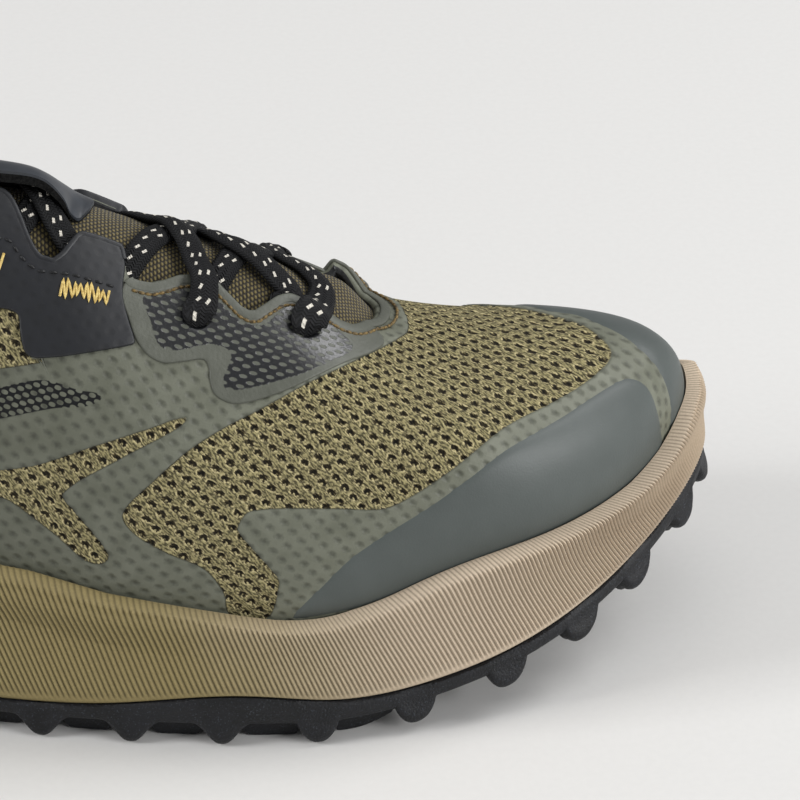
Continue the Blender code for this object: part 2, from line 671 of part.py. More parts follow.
def make_keeper():
    """Strap along the tongue, held at both ends and arched over the lace."""
    sections = []
    across = np.linspace(-1, 1, KEEPER_POINTS_ACROSS)
    for x in np.linspace(KEEPER_BACK, KEEPER_FRONT, KEEPER_SECTIONS):
        share = (x - KEEPER_BACK) / (KEEPER_FRONT - KEEPER_BACK)
        arch = KEEPER_ARCH * (1 - (2 * share - 1) ** 6)
        station = np.full_like(across, x)
        y = TONGUE_MIDDLE + across * KEEPER_HALF_WIDTH
        under = np.stack([station, y, tongue_top(station, y) + GAP + arch], axis=1)
        top = under + np.array([0, 0, KEEPER_THICKNESS])
        sections.append(np.concatenate([under, top[::-1]]))
    loft("lace_keeper", sections, "saddle_film")


def centre_on_box():
    """Moves every mesh so that the origin is the middle of the underside of the whole shoe's box."""
    shown = [shape for shape in bpy.data.objects if not shape.hide_render]
    corners = np.array([vertex.co[:] for shape in shown for vertex in shape.data.vertices])
    lugs = bpy.data.objects["tread_lugs"]
    corners = np.concatenate([corners, np.array([vertex.co[:] for vertex in lugs.data.vertices])])
    low, high = corners.min(axis=0), corners.max(axis=0)
    shift = (-(low[0] + high[0]) / 2, -(low[1] + high[1]) / 2, -low[2])
    for shape in bpy.data.objects:
        for vertex in shape.data.vertices:
            vertex.co = [value + move for value, move in zip(vertex.co, shift)]


for left_over in list(bpy.data.objects):
    bpy.data.objects.remove(left_over, do_unlink=True)

throat_cuts = throat_cutters()
make_outsole()
make_midsole()
make_insole()
make_upper(throat_cuts)
make_tongue()
make_toe_guards()
make_panels(throat_cuts)
make_lace()
make_keeper()
centre_on_box()
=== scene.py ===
import math
from collections import namedtuple

import bpy
import numpy as np
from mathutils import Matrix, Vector
from mathutils.geometry import delaunay_2d_cdt
from mathutils.kdtree import KDTree


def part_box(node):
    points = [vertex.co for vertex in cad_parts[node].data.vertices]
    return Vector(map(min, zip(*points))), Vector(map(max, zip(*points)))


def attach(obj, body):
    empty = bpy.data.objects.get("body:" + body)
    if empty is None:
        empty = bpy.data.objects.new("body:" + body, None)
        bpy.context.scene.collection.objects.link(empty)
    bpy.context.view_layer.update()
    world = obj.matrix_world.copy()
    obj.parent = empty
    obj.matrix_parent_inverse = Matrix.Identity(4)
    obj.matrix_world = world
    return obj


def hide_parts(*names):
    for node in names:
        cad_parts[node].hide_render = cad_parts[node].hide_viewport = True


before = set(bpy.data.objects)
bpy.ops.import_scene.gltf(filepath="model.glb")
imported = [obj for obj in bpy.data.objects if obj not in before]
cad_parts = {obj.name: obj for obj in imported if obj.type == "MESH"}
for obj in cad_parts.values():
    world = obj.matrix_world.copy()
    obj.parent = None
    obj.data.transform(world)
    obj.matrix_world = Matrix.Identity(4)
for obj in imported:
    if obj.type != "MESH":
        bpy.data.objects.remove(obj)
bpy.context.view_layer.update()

# Outsole
# One black rubber moulding, grained by its mould, that wraps up the side of the foam in a low band.
# Its lugs run out of the band in round arches. It is glued under the midsole all round.
MM = 0.001
LENGTH = 285.5
BALL_WIDTH = 105.0
INSTEP_HEIGHT = 115.0
HEEL_HEIGHT = 99.0

# The last, one row for each section around the shoe, from the back of the heel along the outer side to the
# toe and back. x, y: edge of the sole in % of the length and the ball width. rim: height of the midsole in %
# of the instep. band: height of the rubber band in mm. open_x, open_y, open_z: edge of collar and throat in
# the same shares (the heel's open_z in % of the heel height). rise, lean, run in mm and dip in degrees: how
# the wall leaves the rim and the opening.
Station = namedtuple("Station", "name x y rim band open_x open_y open_z rise lean run dip")
STATIONS = (
    Station("heel_back", 0.0, 0.0, 38.0, 9.5, 3.2, 0.0, 100.0, 20, 3, 18, 92),
    Station("heel_corner_outer", 4.9, -25.7, 36.6, 9.5, 6.3, -19.0, 95.0, 20, 3, 16, 90),
    Station("heel_outer", 15.8, -36.2, 35.6, 9.5, 16.8, -27.6, 79.8, 14, 2, 12, 86),
    Station("waist_outer", 35.0, -39.5, 37.0, 9.5, 33.6, -21.0, 89.6, 20, 3, 20, 65),
    Station("middle_outer", 49.0, -46.2, 32.6, 9.5, 46.2, -9.5, 100.0, 24, 3, 28, 42),
    Station("ball_outer", 60.9, -50.0, 27.8, 13.0, 54.6, -8.6, 92.0, 24, 3, 30, 36),
    Station("cheek_outer", 68.3, -49.8, 26.4, 11.0, 59.9, -8.6, 87.3, 24, 3, 31, 34),
    Station("forefoot_outer", 76.7, -45.2, 32.7, 9.6, 65.1, -8.6, 82.8, 24, 3, 33, 31),
    Station("toe_outer", 87.2, -34.6, 37.0, 9.6, 70.1, -7.1, 75.4, 26, 3, 38, 25),
    Station("toe_corner_outer", 95.6, -14.3, 39.5, 9.6, 72.2, -1.9, 71.9, 28, 2, 46, 18),
    Station("toe_tip", 100.0, 8.6, 42.6, 9.6, 72.7, 2.9, 71.5, 30, 2, 50, 16),
    Station("toe_corner_inner", 97.7, 26.7, 41.7, 9.6, 72.3, 7.2, 71.6, 28, 2, 42, 22),
    Station("toe_inner", 90.7, 41.0, 37.4, 9.6, 70.1, 10.0, 74.6, 26, 2, 28, 34),
    Station("forefoot_inner", 77.8, 49.0, 31.3, 9.6, 65.1, 10.5, 80.6, 22, 2, 22, 40),
    Station("cheek_inner", 68.7, 49.0, 28.7, 11.0, 59.9, 10.8, 85.2, 22, 2, 22, 42),
    Station("ball_inner", 60.9, 45.2, 29.6, 11.0, 54.6, 11.0, 89.7, 22, 2, 22, 45),
    Station("middle_inner", 48.0, 36.2, 34.8, 9.5, 46.2, 11.4, 98.7, 22, 2, 26, 46),
    Station("waist_inner", 35.0, 32.4, 37.6, 9.5, 33.6, 22.9, 90.4, 18, 2, 18, 66),
    Station("heel_inner", 15.8, 35.2, 36.0, 9.5, 16.8, 27.6, 80.8, 14, 2, 12, 86),
    Station("heel_corner_inner", 4.9, 24.8, 36.6, 9.5, 6.3, 19.0, 95.0, 20, 3, 16, 90),
)
LAST_PLACE = len(STATIONS)
UP = np.array([0.0, 0.0, 1.0])


def station_rows():
    """The table in millimetres, and each row's share of the way around, the same on both sides."""
    rows = []
    for row in STATIONS:
        height = HEEL_HEIGHT if row.name.startswith("heel") else INSTEP_HEIGHT
        edge = (row.x * LENGTH / 100, row.y * BALL_WIDTH / 100, row.rim * INSTEP_HEIGHT / 100, row.band)
        opening = (row.open_x * LENGTH / 100, row.open_y * BALL_WIDTH / 100, row.open_z * height / 100)
        rows.append(edge + opening + tuple(row[8:]))
    rows = np.array(rows, float)
    chords = np.linalg.norm(np.roll(rows[:, :2], -1, axis=0) - rows[:, :2], axis=1)
    chords = (chords + chords[::-1]) / 2
    return rows, np.concatenate([[0], np.cumsum(chords)[:-1]]) / chords.sum()


ROWS, KNOTS = station_rows()


def spline_around(around):
    """The table's rows on a smooth closed curve, read at shares of the way around."""
    count = len(KNOTS)
    steps = np.diff(np.append(KNOTS, 1.0))
    matrix = np.zeros((count, count))
    right = np.zeros_like(ROWS)
    for i in range(count):
        before, after = steps[i - 1], steps[i]
        matrix[i, i - 1] += before / 6
        matrix[i, i] += (before + after) / 3
        matrix[i, (i + 1) % count] += after / 6
        right[i] = (ROWS[(i + 1) % count] - ROWS[i]) / after - (ROWS[i] - ROWS[i - 1]) / before
    bends = np.linalg.solve(matrix, right)
    around = np.mod(around, 1.0)
    low = np.searchsorted(KNOTS, around, side="right") - 1
    high = (low + 1) % count
    step = steps[low][:, None]
    b = (around - KNOTS[low])[:, None] / step
    a = 1 - b
    bulge = (a**3 - a) * bends[low] + (b**3 - b) * bends[high]
    return a * ROWS[low] + b * ROWS[high] + bulge * step**2 / 6


def around_at(place):
    """Turns a place in the table, such as 4.5 for half way from row 4 to row 5, into a share of the loop."""
    return np.interp(place, np.arange(LAST_PLACE + 1), np.append(KNOTS, 1.0))


def place_at(around):
    return np.interp(np.mod(around, 1.0), np.append(KNOTS, 1.0), np.arange(LAST_PLACE + 1))


def side_place(around):
    """Place in the table counted from the heel along either side."""
    places = place_at(around)
    return np.minimum(places, LAST_PLACE - places)


def edges_at(x):
    """Outer and inner edge of the sole, across the shoe, at lengths x."""
    return np.interp(x, ROWS[:11, 0], ROWS[:11, 1]), np.interp(x, ROWS[:9:-1, 0], ROWS[:9:-1, 1])


def run_along(path):
    """Length along a path up to each of its points."""
    return np.concatenate([[0], np.cumsum(np.linalg.norm(np.diff(path, axis=0), axis=1))])


def outward(change):
    normal = np.stack([change[:, 1], -change[:, 0], np.zeros(len(change))], axis=1)
    return normal / np.linalg.norm(normal, axis=1, keepdims=True)


def loops_at(around):
    """Table rows, and the outward directions in plan of the sole's edge and of the opening."""
    small = 1e-4
    change = spline_around(around + small) - spline_around(around - small)
    return spline_around(around), outward(change[:, 0:2]), outward(change[:, 4:6])


def smooth_step(value, start, end):
    t = np.clip((value - start) / (end - start), 0, 1)
    return t * t * (3 - 2 * t)


SPRING_START = 190.0
SPRING_HEIGHT = 30.0
SPRING_POWER = 1.9
HEEL_BEVEL_END = 20.0
HEEL_BEVEL_HEIGHT = 5.0
ARCH_MIDDLE = 94.0
ARCH_HALF_LENGTH = 26.0
ARCH_HEIGHT = 3.0


def ground(x):
    """Height of the lug tips above the floor."""
    spring = SPRING_HEIGHT * (np.clip(x - SPRING_START, 0, None) / (LENGTH - SPRING_START)) ** SPRING_POWER
    bevel = HEEL_BEVEL_HEIGHT * (np.clip(HEEL_BEVEL_END - x, 0, None) / HEEL_BEVEL_END) ** 2
    inside = np.clip(1 - ((x - ARCH_MIDDLE) / ARCH_HALF_LENGTH) ** 2, 0, None)
    return spring + bevel + ARCH_HEIGHT * inside**2


# The frame's origin is the middle of the shoe's box, and the table's is the back of the heel.
outline = spline_around(np.linspace(0, 1, 400))[:, :2]
sole_low, sole_high = np.array(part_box("midsole")) / MM
MOVE = np.append((sole_low + sole_high)[:2] / 2 - (outline.min(axis=0) + outline.max(axis=0)) / 2, 0.0)


def add_maps(mesh, pattern=None, marks=()):
    """Gives each vertex a pattern position in mm, kept as UV map, and named values."""
    corners = np.empty(len(mesh.loops), np.int32)
    mesh.loops.foreach_get("vertex_index", corners)
    if pattern is not None:
        layer = mesh.uv_layers[0] if mesh.uv_layers else mesh.uv_layers.new(name="UVMap")
        layer.data.foreach_set("uv", pattern[corners].astype(np.float32).ravel())
    for mark, values in marks:
        mesh.attributes.new(mark, "FLOAT", "POINT").data.foreach_set("value", values.astype(np.float32))
    return corners


def close_up(piece, smooth_angle, merge=0.0):
    """Merges points that lie together, turns the faces outwards and smooths them below an angle."""
    bpy.ops.object.select_all(action="DESELECT")
    piece.select_set(True)
    bpy.context.view_layer.objects.active = piece
    bpy.ops.object.mode_set(mode="EDIT")
    bpy.ops.mesh.select_all(action="SELECT")
    if merge:
        bpy.ops.mesh.remove_doubles(threshold=merge)
    bpy.ops.mesh.normals_make_consistent(inside=False)
    bpy.ops.object.mode_set(mode="OBJECT")
    bpy.ops.object.shade_smooth_by_angle(angle=math.radians(smooth_angle))


def lay_grid(name, points, uv=None, inner_from=None, smooth_angle=40, marks=()):
    """Grid primitive with its vertices moved to points[column, row], in mm of the last, then closed up.

    uv holds a pattern position in mm for each point. Rows from inner_from on get the second material.
    """
    columns, rows = points.shape[:2]
    bpy.ops.object.select_all(action="DESELECT")
    bpy.ops.mesh.primitive_grid_add(x_subdivisions=columns - 1, y_subdivisions=rows - 1, size=1)
    piece = bpy.context.object
    piece.name = name
    mesh = piece.data
    mesh.vertices.foreach_set("co", ((points + MOVE) * MM).transpose(1, 0, 2).astype(np.float32).ravel())
    pattern = None if uv is None else uv.transpose(1, 0, 2).reshape(-1, 2)
    corners = add_maps(mesh, pattern, [(mark, values.T.ravel()) for mark, values in marks])
    if inner_from is not None:
        first_row = (corners // columns).reshape(-1, 4).min(axis=1)
        mesh.polygons.foreach_set("material_index", (first_row >= inner_from).astype(np.int32))
    mesh.update()
    close_up(piece, smooth_angle, 1e-6)
    return piece


def linear(colour):
    """Linear colour of an sRGB hex value."""
    parts = [int(colour[i : i + 2], 16) / 255 for i in (1, 3, 5)]
    return tuple(c / 12.92 if c <= 0.04045 else ((c + 0.055) / 1.055) ** 2.4 for c in parts) + (1.0,)


def new_finish(name, roughness, **values):
    """Material of this name and its shader, with the values that are the same all over set on the shader."""
    material = bpy.data.materials.new(name)
    material.use_nodes = True
    shader = material.node_tree.nodes["Principled BSDF"]
    shader.inputs["Roughness"].default_value = roughness
    for socket, value in values.items():
        shader.inputs[socket.replace("_", " ")].default_value = value
    return material, material.node_tree, shader


def add_node(tree, kind, inputs=(), stops=(), out=0, **settings):
    """Adds a node and gives its output out. inputs holds values, or sockets to link, in order or by name.

    stops pairs a position with an sRGB hex colour, for a node that has a colour ramp.
    """
    made = tree.nodes.new("ShaderNode" + kind)
    for name, value in settings.items():
        setattr(made, name, value)
    for name, value in (inputs if isinstance(inputs, dict) else dict(enumerate(inputs))).items():
        if isinstance(value, bpy.types.NodeSocket):
            tree.links.new(value, made.inputs[name])
        else:
            made.inputs[name].default_value = value
    for number, (position, colour) in enumerate(stops):
        elements = made.color_ramp.elements
        element = elements[number] if number < 2 else elements.new(position)
        element.position = position
        element.color = linear(colour)
    return made.outputs[out]


# Settings of a mix of two colours, and of one that darkens a colour by a value.
BLEND = {"data_type": "RGBA", "out": 2}
TINT = {"blend_type": "MULTIPLY", **BLEND}


def connect(shader, **sources):
    """Links each source to the shader's input of that name."""
    for socket, source in sources.items():
        shader.id_data.links.new(source, shader.inputs[socket.replace("_", " ")])


def settle(piece, finishes, *nodes, slot):
    """Gives a finished piece its materials and its body, and hides the CAD nodes it stands for. slot is not
    used.
    """
    for finish in finishes:
        piece.data.materials.append(finish)
    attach(piece, "root")
    if nodes:
        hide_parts(*nodes)


# Lugs sit at these places of the table, and again on the inner side.
EDGE_LUGS = (0.36, 1.0, 1.5, 1.95, 2.35, 2.75, 3.14, 3.69, 4.24, 4.86, 5.82, 6.78, 7.54, 8.17, 8.74, 9.38)
TOE_LUG = 9.98
LUG_HEIGHT = 5.0
FIN_HALF = 6.8
KNOB_HALF = 4.7
LUG_DEPTH = 13.0
LUG_BULGE = 1.5
FIN_FLAT = 0.08
PLATE_TOP = 8.5
PLATE_INSET = 18.0
JOINT_DEPTH = 3.0
SOLE_COLUMNS = 1500
GAP = 0.3
BAND_INSET = 0.8

sole_around = np.linspace(0, 1, SOLE_COLUMNS + 1)
sole_rows, sole_out, _ = loops_at(sole_around)
sole_edge = sole_rows[:, :2]
steps = np.linalg.norm(np.diff(sole_edge, axis=0), axis=1)
sole_run = np.concatenate([[0], np.cumsum(steps)])
PERIMETER = sole_run[-1]


def lug_profile(run):
    """1 at the tip of a lug and 0 between lugs, along the sole's edge in mm.

    Lugs are fins at the side and knobs at the toe.
    """
    places = np.array(list(EDGE_LUGS) + [TOE_LUG] + [LAST_PLACE - place for place in EDGE_LUGS])
    centres = np.interp(around_at(places), sole_around, sole_run)
    away = np.abs(run[:, None] - centres[None, :])
    away = np.minimum(away, PERIMETER - away)
    nearest = places[away.argmin(axis=1)]
    fin = 1 - smooth_step(away.min(axis=1) / FIN_HALF, FIN_FLAT, 1.0)
    knob = (1 - np.clip(away.min(axis=1) / KNOB_HALF, 0, 1) ** 2.2) ** 0.65
    return fin + (knob - fin) * smooth_step(np.minimum(nearest, LAST_PLACE - nearest), 4.8, 6.2)


def sole_point(inset, height):
    """Points inside the sole's edge by inset, at a height for each column."""
    point = np.concatenate([sole_edge, np.zeros((len(sole_edge), 1))], axis=1)
    point -= np.reshape(inset, (-1, 1)) * sole_out
    point[:, 2] = height
    return point


SPINE_START = 45.0
SPINE_END = 235.0


def spine(edge_x, height):
    """Points on the sole's middle line, where the rows from both sides meet."""
    x = np.clip(edge_x, SPINE_START, SPINE_END)
    return np.column_stack([x, sum(edges_at(x)) / 2, height(x)])


# At the inner corner of the toe the rubber climbs the outside of the foam in a low wave.
TOE_WRAP_HEIGHT = 9.0
TOE_WRAP_STAND = 0.7
sole_places = place_at(sole_around)
wrap = smooth_step(sole_places, 10.0, 10.9) * (1 - smooth_step(sole_places, 11.0, 12.4))
joint = ground(sole_edge[:, 0]) + sole_rows[:, 3] + TOE_WRAP_HEIGHT * wrap
plate = ground(sole_edge[:, 0]) + LUG_HEIGHT
lug = lug_profile(sole_run)
tip = plate - LUG_HEIGHT * lug
profile = [spine(sole_edge[:, 0], lambda x: ground(x) + PLATE_TOP),
           sole_point(BAND_INSET + JOINT_DEPTH * (1 - wrap), joint - GAP),
           sole_point(BAND_INSET - TOE_WRAP_STAND * wrap, joint - GAP)]
# Side of the rubber: share of the way from the joint to the lug's tip, and inset in mm.
RUBBER_SIDE = ((0.06, 0.3), (0.2, 0.05), (0.36, 0.0), (0.52, 0.0), (0.66, 0.05), (0.78, 0.2), (0.88, 0.5),
               (0.95, 1.0), (0.99, 1.7))
for share, inset in RUBBER_SIDE:
    bulge = LUG_BULGE * lug * math.sin(math.pi * min(max(share - 0.4, 0) / 0.8, 1))
    profile.append(sole_point(inset - bulge - TOE_WRAP_STAND * wrap,
                              joint - GAP + (tip - joint + GAP) * share))
profile.append(sole_point(2.4, ground(sole_edge[:, 0]) + LUG_HEIGHT * (1 - lug)))
# A second row of lugs closes the gaps behind the first one, except at the raised toe.
second = (1 - lug) * (1 - smooth_step(side_place(sole_around), 6.2, 7.0))
# Under the edge: inset in mm, and the share of the height that either row of lugs has there.
Under = namedtuple("Under", "inset first second")
LUG_UNDERSIDE = (Under(2.8, 1.0, 0.0), Under(3.3, 1.0, 0.1), Under(3.7, 0.95, 1.0), Under(8.0, 0.8, 1.0),
                 Under(10.5, 0.3, 1.0), Under(12.0, 0.0, 0.9), Under(LUG_DEPTH, 0.0, 0.0))
SECOND_ROW_HEIGHT = 0.94
for under in LUG_UNDERSIDE:
    inner = sole_point(under.inset, 0.0)
    standing = np.maximum(lug * under.first, second * under.second * SECOND_ROW_HEIGHT)
    inner[:, 2] = ground(inner[:, 0]) + LUG_HEIGHT * (1 - standing)
    profile.append(inner)
plate_ring = sole_point(PLATE_INSET, 0.0)
plate_ring[:, 2] = ground(plate_ring[:, 0]) + LUG_HEIGHT
profile.append(plate_ring)
profile.append(spine(sole_edge[:, 0], lambda x: ground(x) + LUG_HEIGHT))
outsole = lay_grid("outsole_tread", np.stack(profile, axis=1))

# The lugs under the middle of the foot: one block, bevelled, and copied along the sole.
CENTRE_LUG_FIRST = 26.0
CENTRE_LUG_LAST = 262.0
CENTRE_LUG_PITCH = 21.5
CENTRE_LUG_SPREAD = 0.13
CENTRE_LUG_SIZE = (9.2, 12.5, 6.5)
CENTRE_LUG_TURN = 24.0
CENTRE_LUG_TAPER = 0.78
CENTRE_LUG_WIDEST = 0.17
CENTRE_LUG_BEVEL = 0.9


def centre_lug(x, side):
    """Slanted block beside the middle line, half of a chevron, tapered to its tip and rounded."""
    outer, inner = edges_at(x)
    y = (outer + inner) / 2 + side * (inner - outer) * CENTRE_LUG_SPREAD
    length, width, height = CENTRE_LUG_SIZE
    width = min(width, (inner - outer) * CENTRE_LUG_WIDEST)
    place = (np.array([x, y, ground(x) + height / 2]) + MOVE) * MM
    bpy.ops.object.select_all(action="DESELECT")
    bpy.ops.mesh.primitive_cube_add(size=MM, location=place,
                                    rotation=(0, 0, math.radians(CENTRE_LUG_TURN) * -side))
    block = bpy.context.object
    block.scale = (length, width, height)
    bpy.ops.object.transform_apply(location=False, rotation=False, scale=True)
    bpy.ops.object.mode_set(mode="EDIT")
    bpy.ops.mesh.select_all(action="DESELECT")
    bpy.ops.object.mode_set(mode="OBJECT")
    for face in block.data.polygons:
        face.select = face.normal.z < -0.5
    bpy.ops.object.mode_set(mode="EDIT")
    bpy.ops.transform.resize(value=(CENTRE_LUG_TAPER, CENTRE_LUG_TAPER, 1))
    bpy.ops.mesh.select_all(action="SELECT")
    bpy.ops.mesh.bevel(offset=CENTRE_LUG_BEVEL * MM, segments=3, affect="EDGES")
    bpy.ops.object.mode_set(mode="OBJECT")
    bpy.ops.object.shade_smooth_by_angle(angle=math.radians(40))
    bpy.ops.object.transform_apply(location=True, rotation=True, scale=True)
    return block


lug_lengths = np.arange(CENTRE_LUG_FIRST, CENTRE_LUG_LAST, CENTRE_LUG_PITCH)
blocks = [centre_lug(x, side) for x in lug_lengths for side in (-1, 1)]
bpy.ops.object.select_all(action="DESELECT")
for block in blocks:
    block.select_set(True)
outsole.select_set(True)
bpy.context.view_layer.objects.active = outsole
bpy.ops.object.join()

# Moulded rubber: near black with a bluish cast, a fine sand grain from the mould, dull but not dead.
rubber, tree, shader = new_finish("moulded_black_rubber", 0.55, Specular_IOR_Level=0.38)
place = add_node(tree, "TexCoord", out="Object")
grit = add_node(tree, "TexNoise", {"Vector": place, "Scale": 1 / (0.55 * MM), "Detail": 3.0})
dust = add_node(tree, "TexNoise", {"Vector": place, "Scale": 1 / (9 * MM), "Detail": 4.0})
mixed = add_node(tree, "Math", [dust, grit], operation="ADD")
tone = add_node(tree, "ValToRGB", [mixed], ((0.85, "#060709"), (1.0, "#101115")))
specks = add_node(tree, "TexNoise", {"Vector": place, "Scale": 1 / (0.4 * MM), "Detail": 1.0})
# Painted highlights: small pale bluish specks stand for glints of the rubber's grain.
painted_glints = add_node(tree, "MapRange", [specks, 0.62, 0.72, 0.0, 0.6])
tone = add_node(tree, "Mix", {"Factor": painted_glints, 6: tone, 7: linear("#3d424a")}, **BLEND)
relief = add_node(tree, "Bump", {"Height": grit, "Distance": 0.2 * MM})
connect(shader, Base_Color=tone, Normal=relief)
settle(outsole, [rubber], "outsole", slot="outsole_rubber")

# Midsole
# One foam moulding shaped as a cup, with fine slanted ribs that run up its side and over the rounded rim.
# The foam is dyed olive at the back, and the colour fades to tan towards the toe.
RIB_PLACES = (0.0, 3.5, 4.5, 5.2, 5.7, 6.4, 7.2, 8.0, 8.7, 10.0)
RIB_PITCHES = (1.3, 1.27, 1.31, 1.3, 1.2, 1.12, 1.07, 0.98, 0.91, 0.88)
RIB_HEIGHT = 0.24
RIB_HEIGHT_TOE = 0.38
LEAN_PLACES = (0.0, 4.5, 6.2, 8.0, 8.8, 9.4, 10.0)
RIB_LEANS = (21.0, 21.0, 22.0, 26.0, 26.0, 21.0, 17.0)
RIM_LEAN = 0.6
COLUMNS_PER_RIB = 4
RIM_WIDTH = 5.5
FOAM_BOTTOM = 8.8

rib_pitch = np.interp(side_place(sole_around), RIB_PLACES, RIB_PITCHES)
rib_number = np.concatenate([[0], np.cumsum(steps / rib_pitch[:-1])])
foam_columns = round(rib_number[-1]) * COLUMNS_PER_RIB
foam_share = np.interp(np.linspace(0, rib_number[-1], foam_columns + 1), rib_number, sole_around)
rib = np.cos(2 * math.pi * np.arange(foam_columns + 1) / COLUMNS_PER_RIB)

FOOTBED_X = np.array([0.0, 60, 110, 160, 200, 235, 262, 286])
FOOTBED_Z = np.array([34.0, 31, 27, 22.5, 22, 26, 33, 42])


def hermite(t, start, end, start_slope, end_slope):
    """Curve from start to end that leaves and arrives with these slopes, at shares t of the way."""
    first = (2 * t**3 - 3 * t**2 + 1) * start + (t**3 - 2 * t**2 + t) * start_slope
    return first + (3 * t**2 - 2 * t**3) * end + (t**3 - t**2) * end_slope


def curve_along(table_x, table_y, at):
    """Smooth open curve through a short table."""
    slopes = np.gradient(table_y, table_x)
    at = np.clip(at, table_x[0], table_x[-1])
    low = np.clip(np.searchsorted(table_x, at, side="right") - 1, 0, len(table_x) - 2)
    step = table_x[low + 1] - table_x[low]
    t = (at - table_x[low]) / step
    return hermite(t, table_y[low], table_y[low + 1], step * slopes[low], step * slopes[low + 1])


def footbed(x):
    return curve_along(FOOTBED_X, FOOTBED_Z, x)


# Side of the foam from the rubber to the rim: share of the height, inset, and how far the ribs stand out.
Wall = namedtuple("Wall", "height inset ribs")
FOAM_SIDE = (Wall(0.0, 1.1, 0.0), Wall(0.02, 0.6, 0.0), Wall(0.045, 0.4, 0.3), Wall(0.09, 0.15, 1.0),
             Wall(0.16, 0.1, 1.0), Wall(0.25, 0.25, 1.0), Wall(0.34, 0.45, 1.0), Wall(0.42, 0.6, 1.0),
             Wall(0.49, 0.7, 1.0), Wall(0.55, 0.7, 1.0), Wall(0.61, 0.65, 1.0), Wall(0.67, 0.55, 1.0),
             Wall(0.73, 0.4, 1.0), Wall(0.79, 0.25, 1.0), Wall(0.84, 0.12, 1.0), Wall(0.88, 0.1, 1.0),
             Wall(0.91, 0.25, 1.0), Wall(0.935, 0.6, 1.0), Wall(0.955, 1.1, 1.0), Wall(0.972, 1.8, 1.0),
             Wall(0.985, 2.6, 1.0), Wall(0.995, 3.4, 1.0), Wall(1.0, 4.2, 0.8), Wall(0.99, 4.7, 0.0))
# The side is hollowed below the rim towards the heel, down to a soft crease, and swells again below it.
HOLLOW_DEPTH = 1.9
HOLLOW_END = 5.0
SHOULDER = 0.89
# Towards the toe the shoulder is sharper. The rim climbs the upper a little at the waist and at the toe.
SHOULDER_TOE = 0.95
RAISE_PLACES = (0.0, 2.4, 3.2, 3.65, 4.1, 5.0, 5.4, 6.2, 6.6, 8.8, 9.2, 9.6, 10.0)
RAISES = (0.0, 0.0, 2.8, 2.8, 0.9, 0.7, 0.8, 1.6, 1.2, 1.0, 2.4, 5.4, 6.6)
SOFT_SHOULDER = 0.9
INNER_TOE_RAISE = 3.4


def foam_row(wall, around):
    """Table rows and outward directions, lower edge, height and inset of one row of the foam's side."""
    rows, out, _ = loops_at(around)
    low = ground(rows[:, 0]) + rows[:, 3]
    places = place_at(around)
    toe_raise = INNER_TOE_RAISE * smooth_step(places, 9.9, 10.5) * (1 - smooth_step(places, 11.2, 12.2))
    places = side_place(around)
    shoulder = SHOULDER + (SHOULDER_TOE - SHOULDER) * smooth_step(places, 3.8, 5.0)
    on_wall = min(wall.height / SHOULDER, 1)
    on_rim = max(wall.height - SHOULDER, 0) / (1 - SHOULDER)
    high = rows[:, 2] + np.interp(places, RAISE_PLACES, RAISES) + toe_raise
    height = low + (high - low) * (shoulder * on_wall + (1 - shoulder) * on_rim)
    crease = 0.62 - 0.12 * np.clip(places - 3.5, -1, 2)
    above = np.clip((SHOULDER - wall.height) / (SHOULDER - crease), 0, 1) ** 1.4
    below = np.clip((wall.height - 0.05) / (crease - 0.05), 0, 1)
    hollow = HOLLOW_DEPTH * smooth_step(HOLLOW_END - places, 0, 1.1) * smooth_step(places, 1.4, 2.8)
    hollow = hollow * np.where(wall.height > crease, above, below)
    ends = 1 - smooth_step(places, 4.2, 5.4) + 1.6 * smooth_step(places, 9.2, 9.8)
    soft = SOFT_SHOULDER * ends * math.exp(-(((wall.height - 0.89) / 0.055) ** 2))
    return rows, out, low, height, wall.inset + hollow + soft


def rib_around(wall):
    """Way around of the ribs' columns at a row of the side, moved back because the ribs lean."""
    _, _, low, height, inset = foam_row(wall, foam_share)
    lean = np.interp(side_place(foam_share), LEAN_PLACES, RIB_LEANS)
    return foam_share - (height - low + inset * RIM_LEAN) * np.tan(np.radians(lean)) / PERIMETER


foam_profile = []
groove = []
rib_height = RIB_HEIGHT + (RIB_HEIGHT_TOE - RIB_HEIGHT) * smooth_step(side_place(foam_share), 7.0, 9.2)
for wall in FOAM_SIDE:
    rows, out, _, height, inset = foam_row(wall, rib_around(wall))
    edge = rows[:, :2] - (inset - rib_height * wall.ribs * rib)[:, None] * out[:, :2]
    foam_profile.append(np.column_stack([edge, height]))
    groove.append(wall.ribs * (1 - rib) / 2)
inner_edge = rows[:, :2] - (RIM_WIDTH - GAP) * out[:, :2]
foam_profile.append(np.column_stack([inner_edge, footbed(inner_edge[:, 0])]))
foam_profile.append(spine(rows[:, 0], footbed))
foam_profile.insert(0, spine(rows[:, 0], lambda x: ground(x) + FOAM_BOTTOM))
groove = np.stack([groove[0] * 0] + groove + [groove[0] * 0, groove[0] * 0], axis=1)
midsole = lay_grid("midsole_foam", np.stack(foam_profile, axis=1), smooth_angle=60,
                   marks=[("groove", groove)])
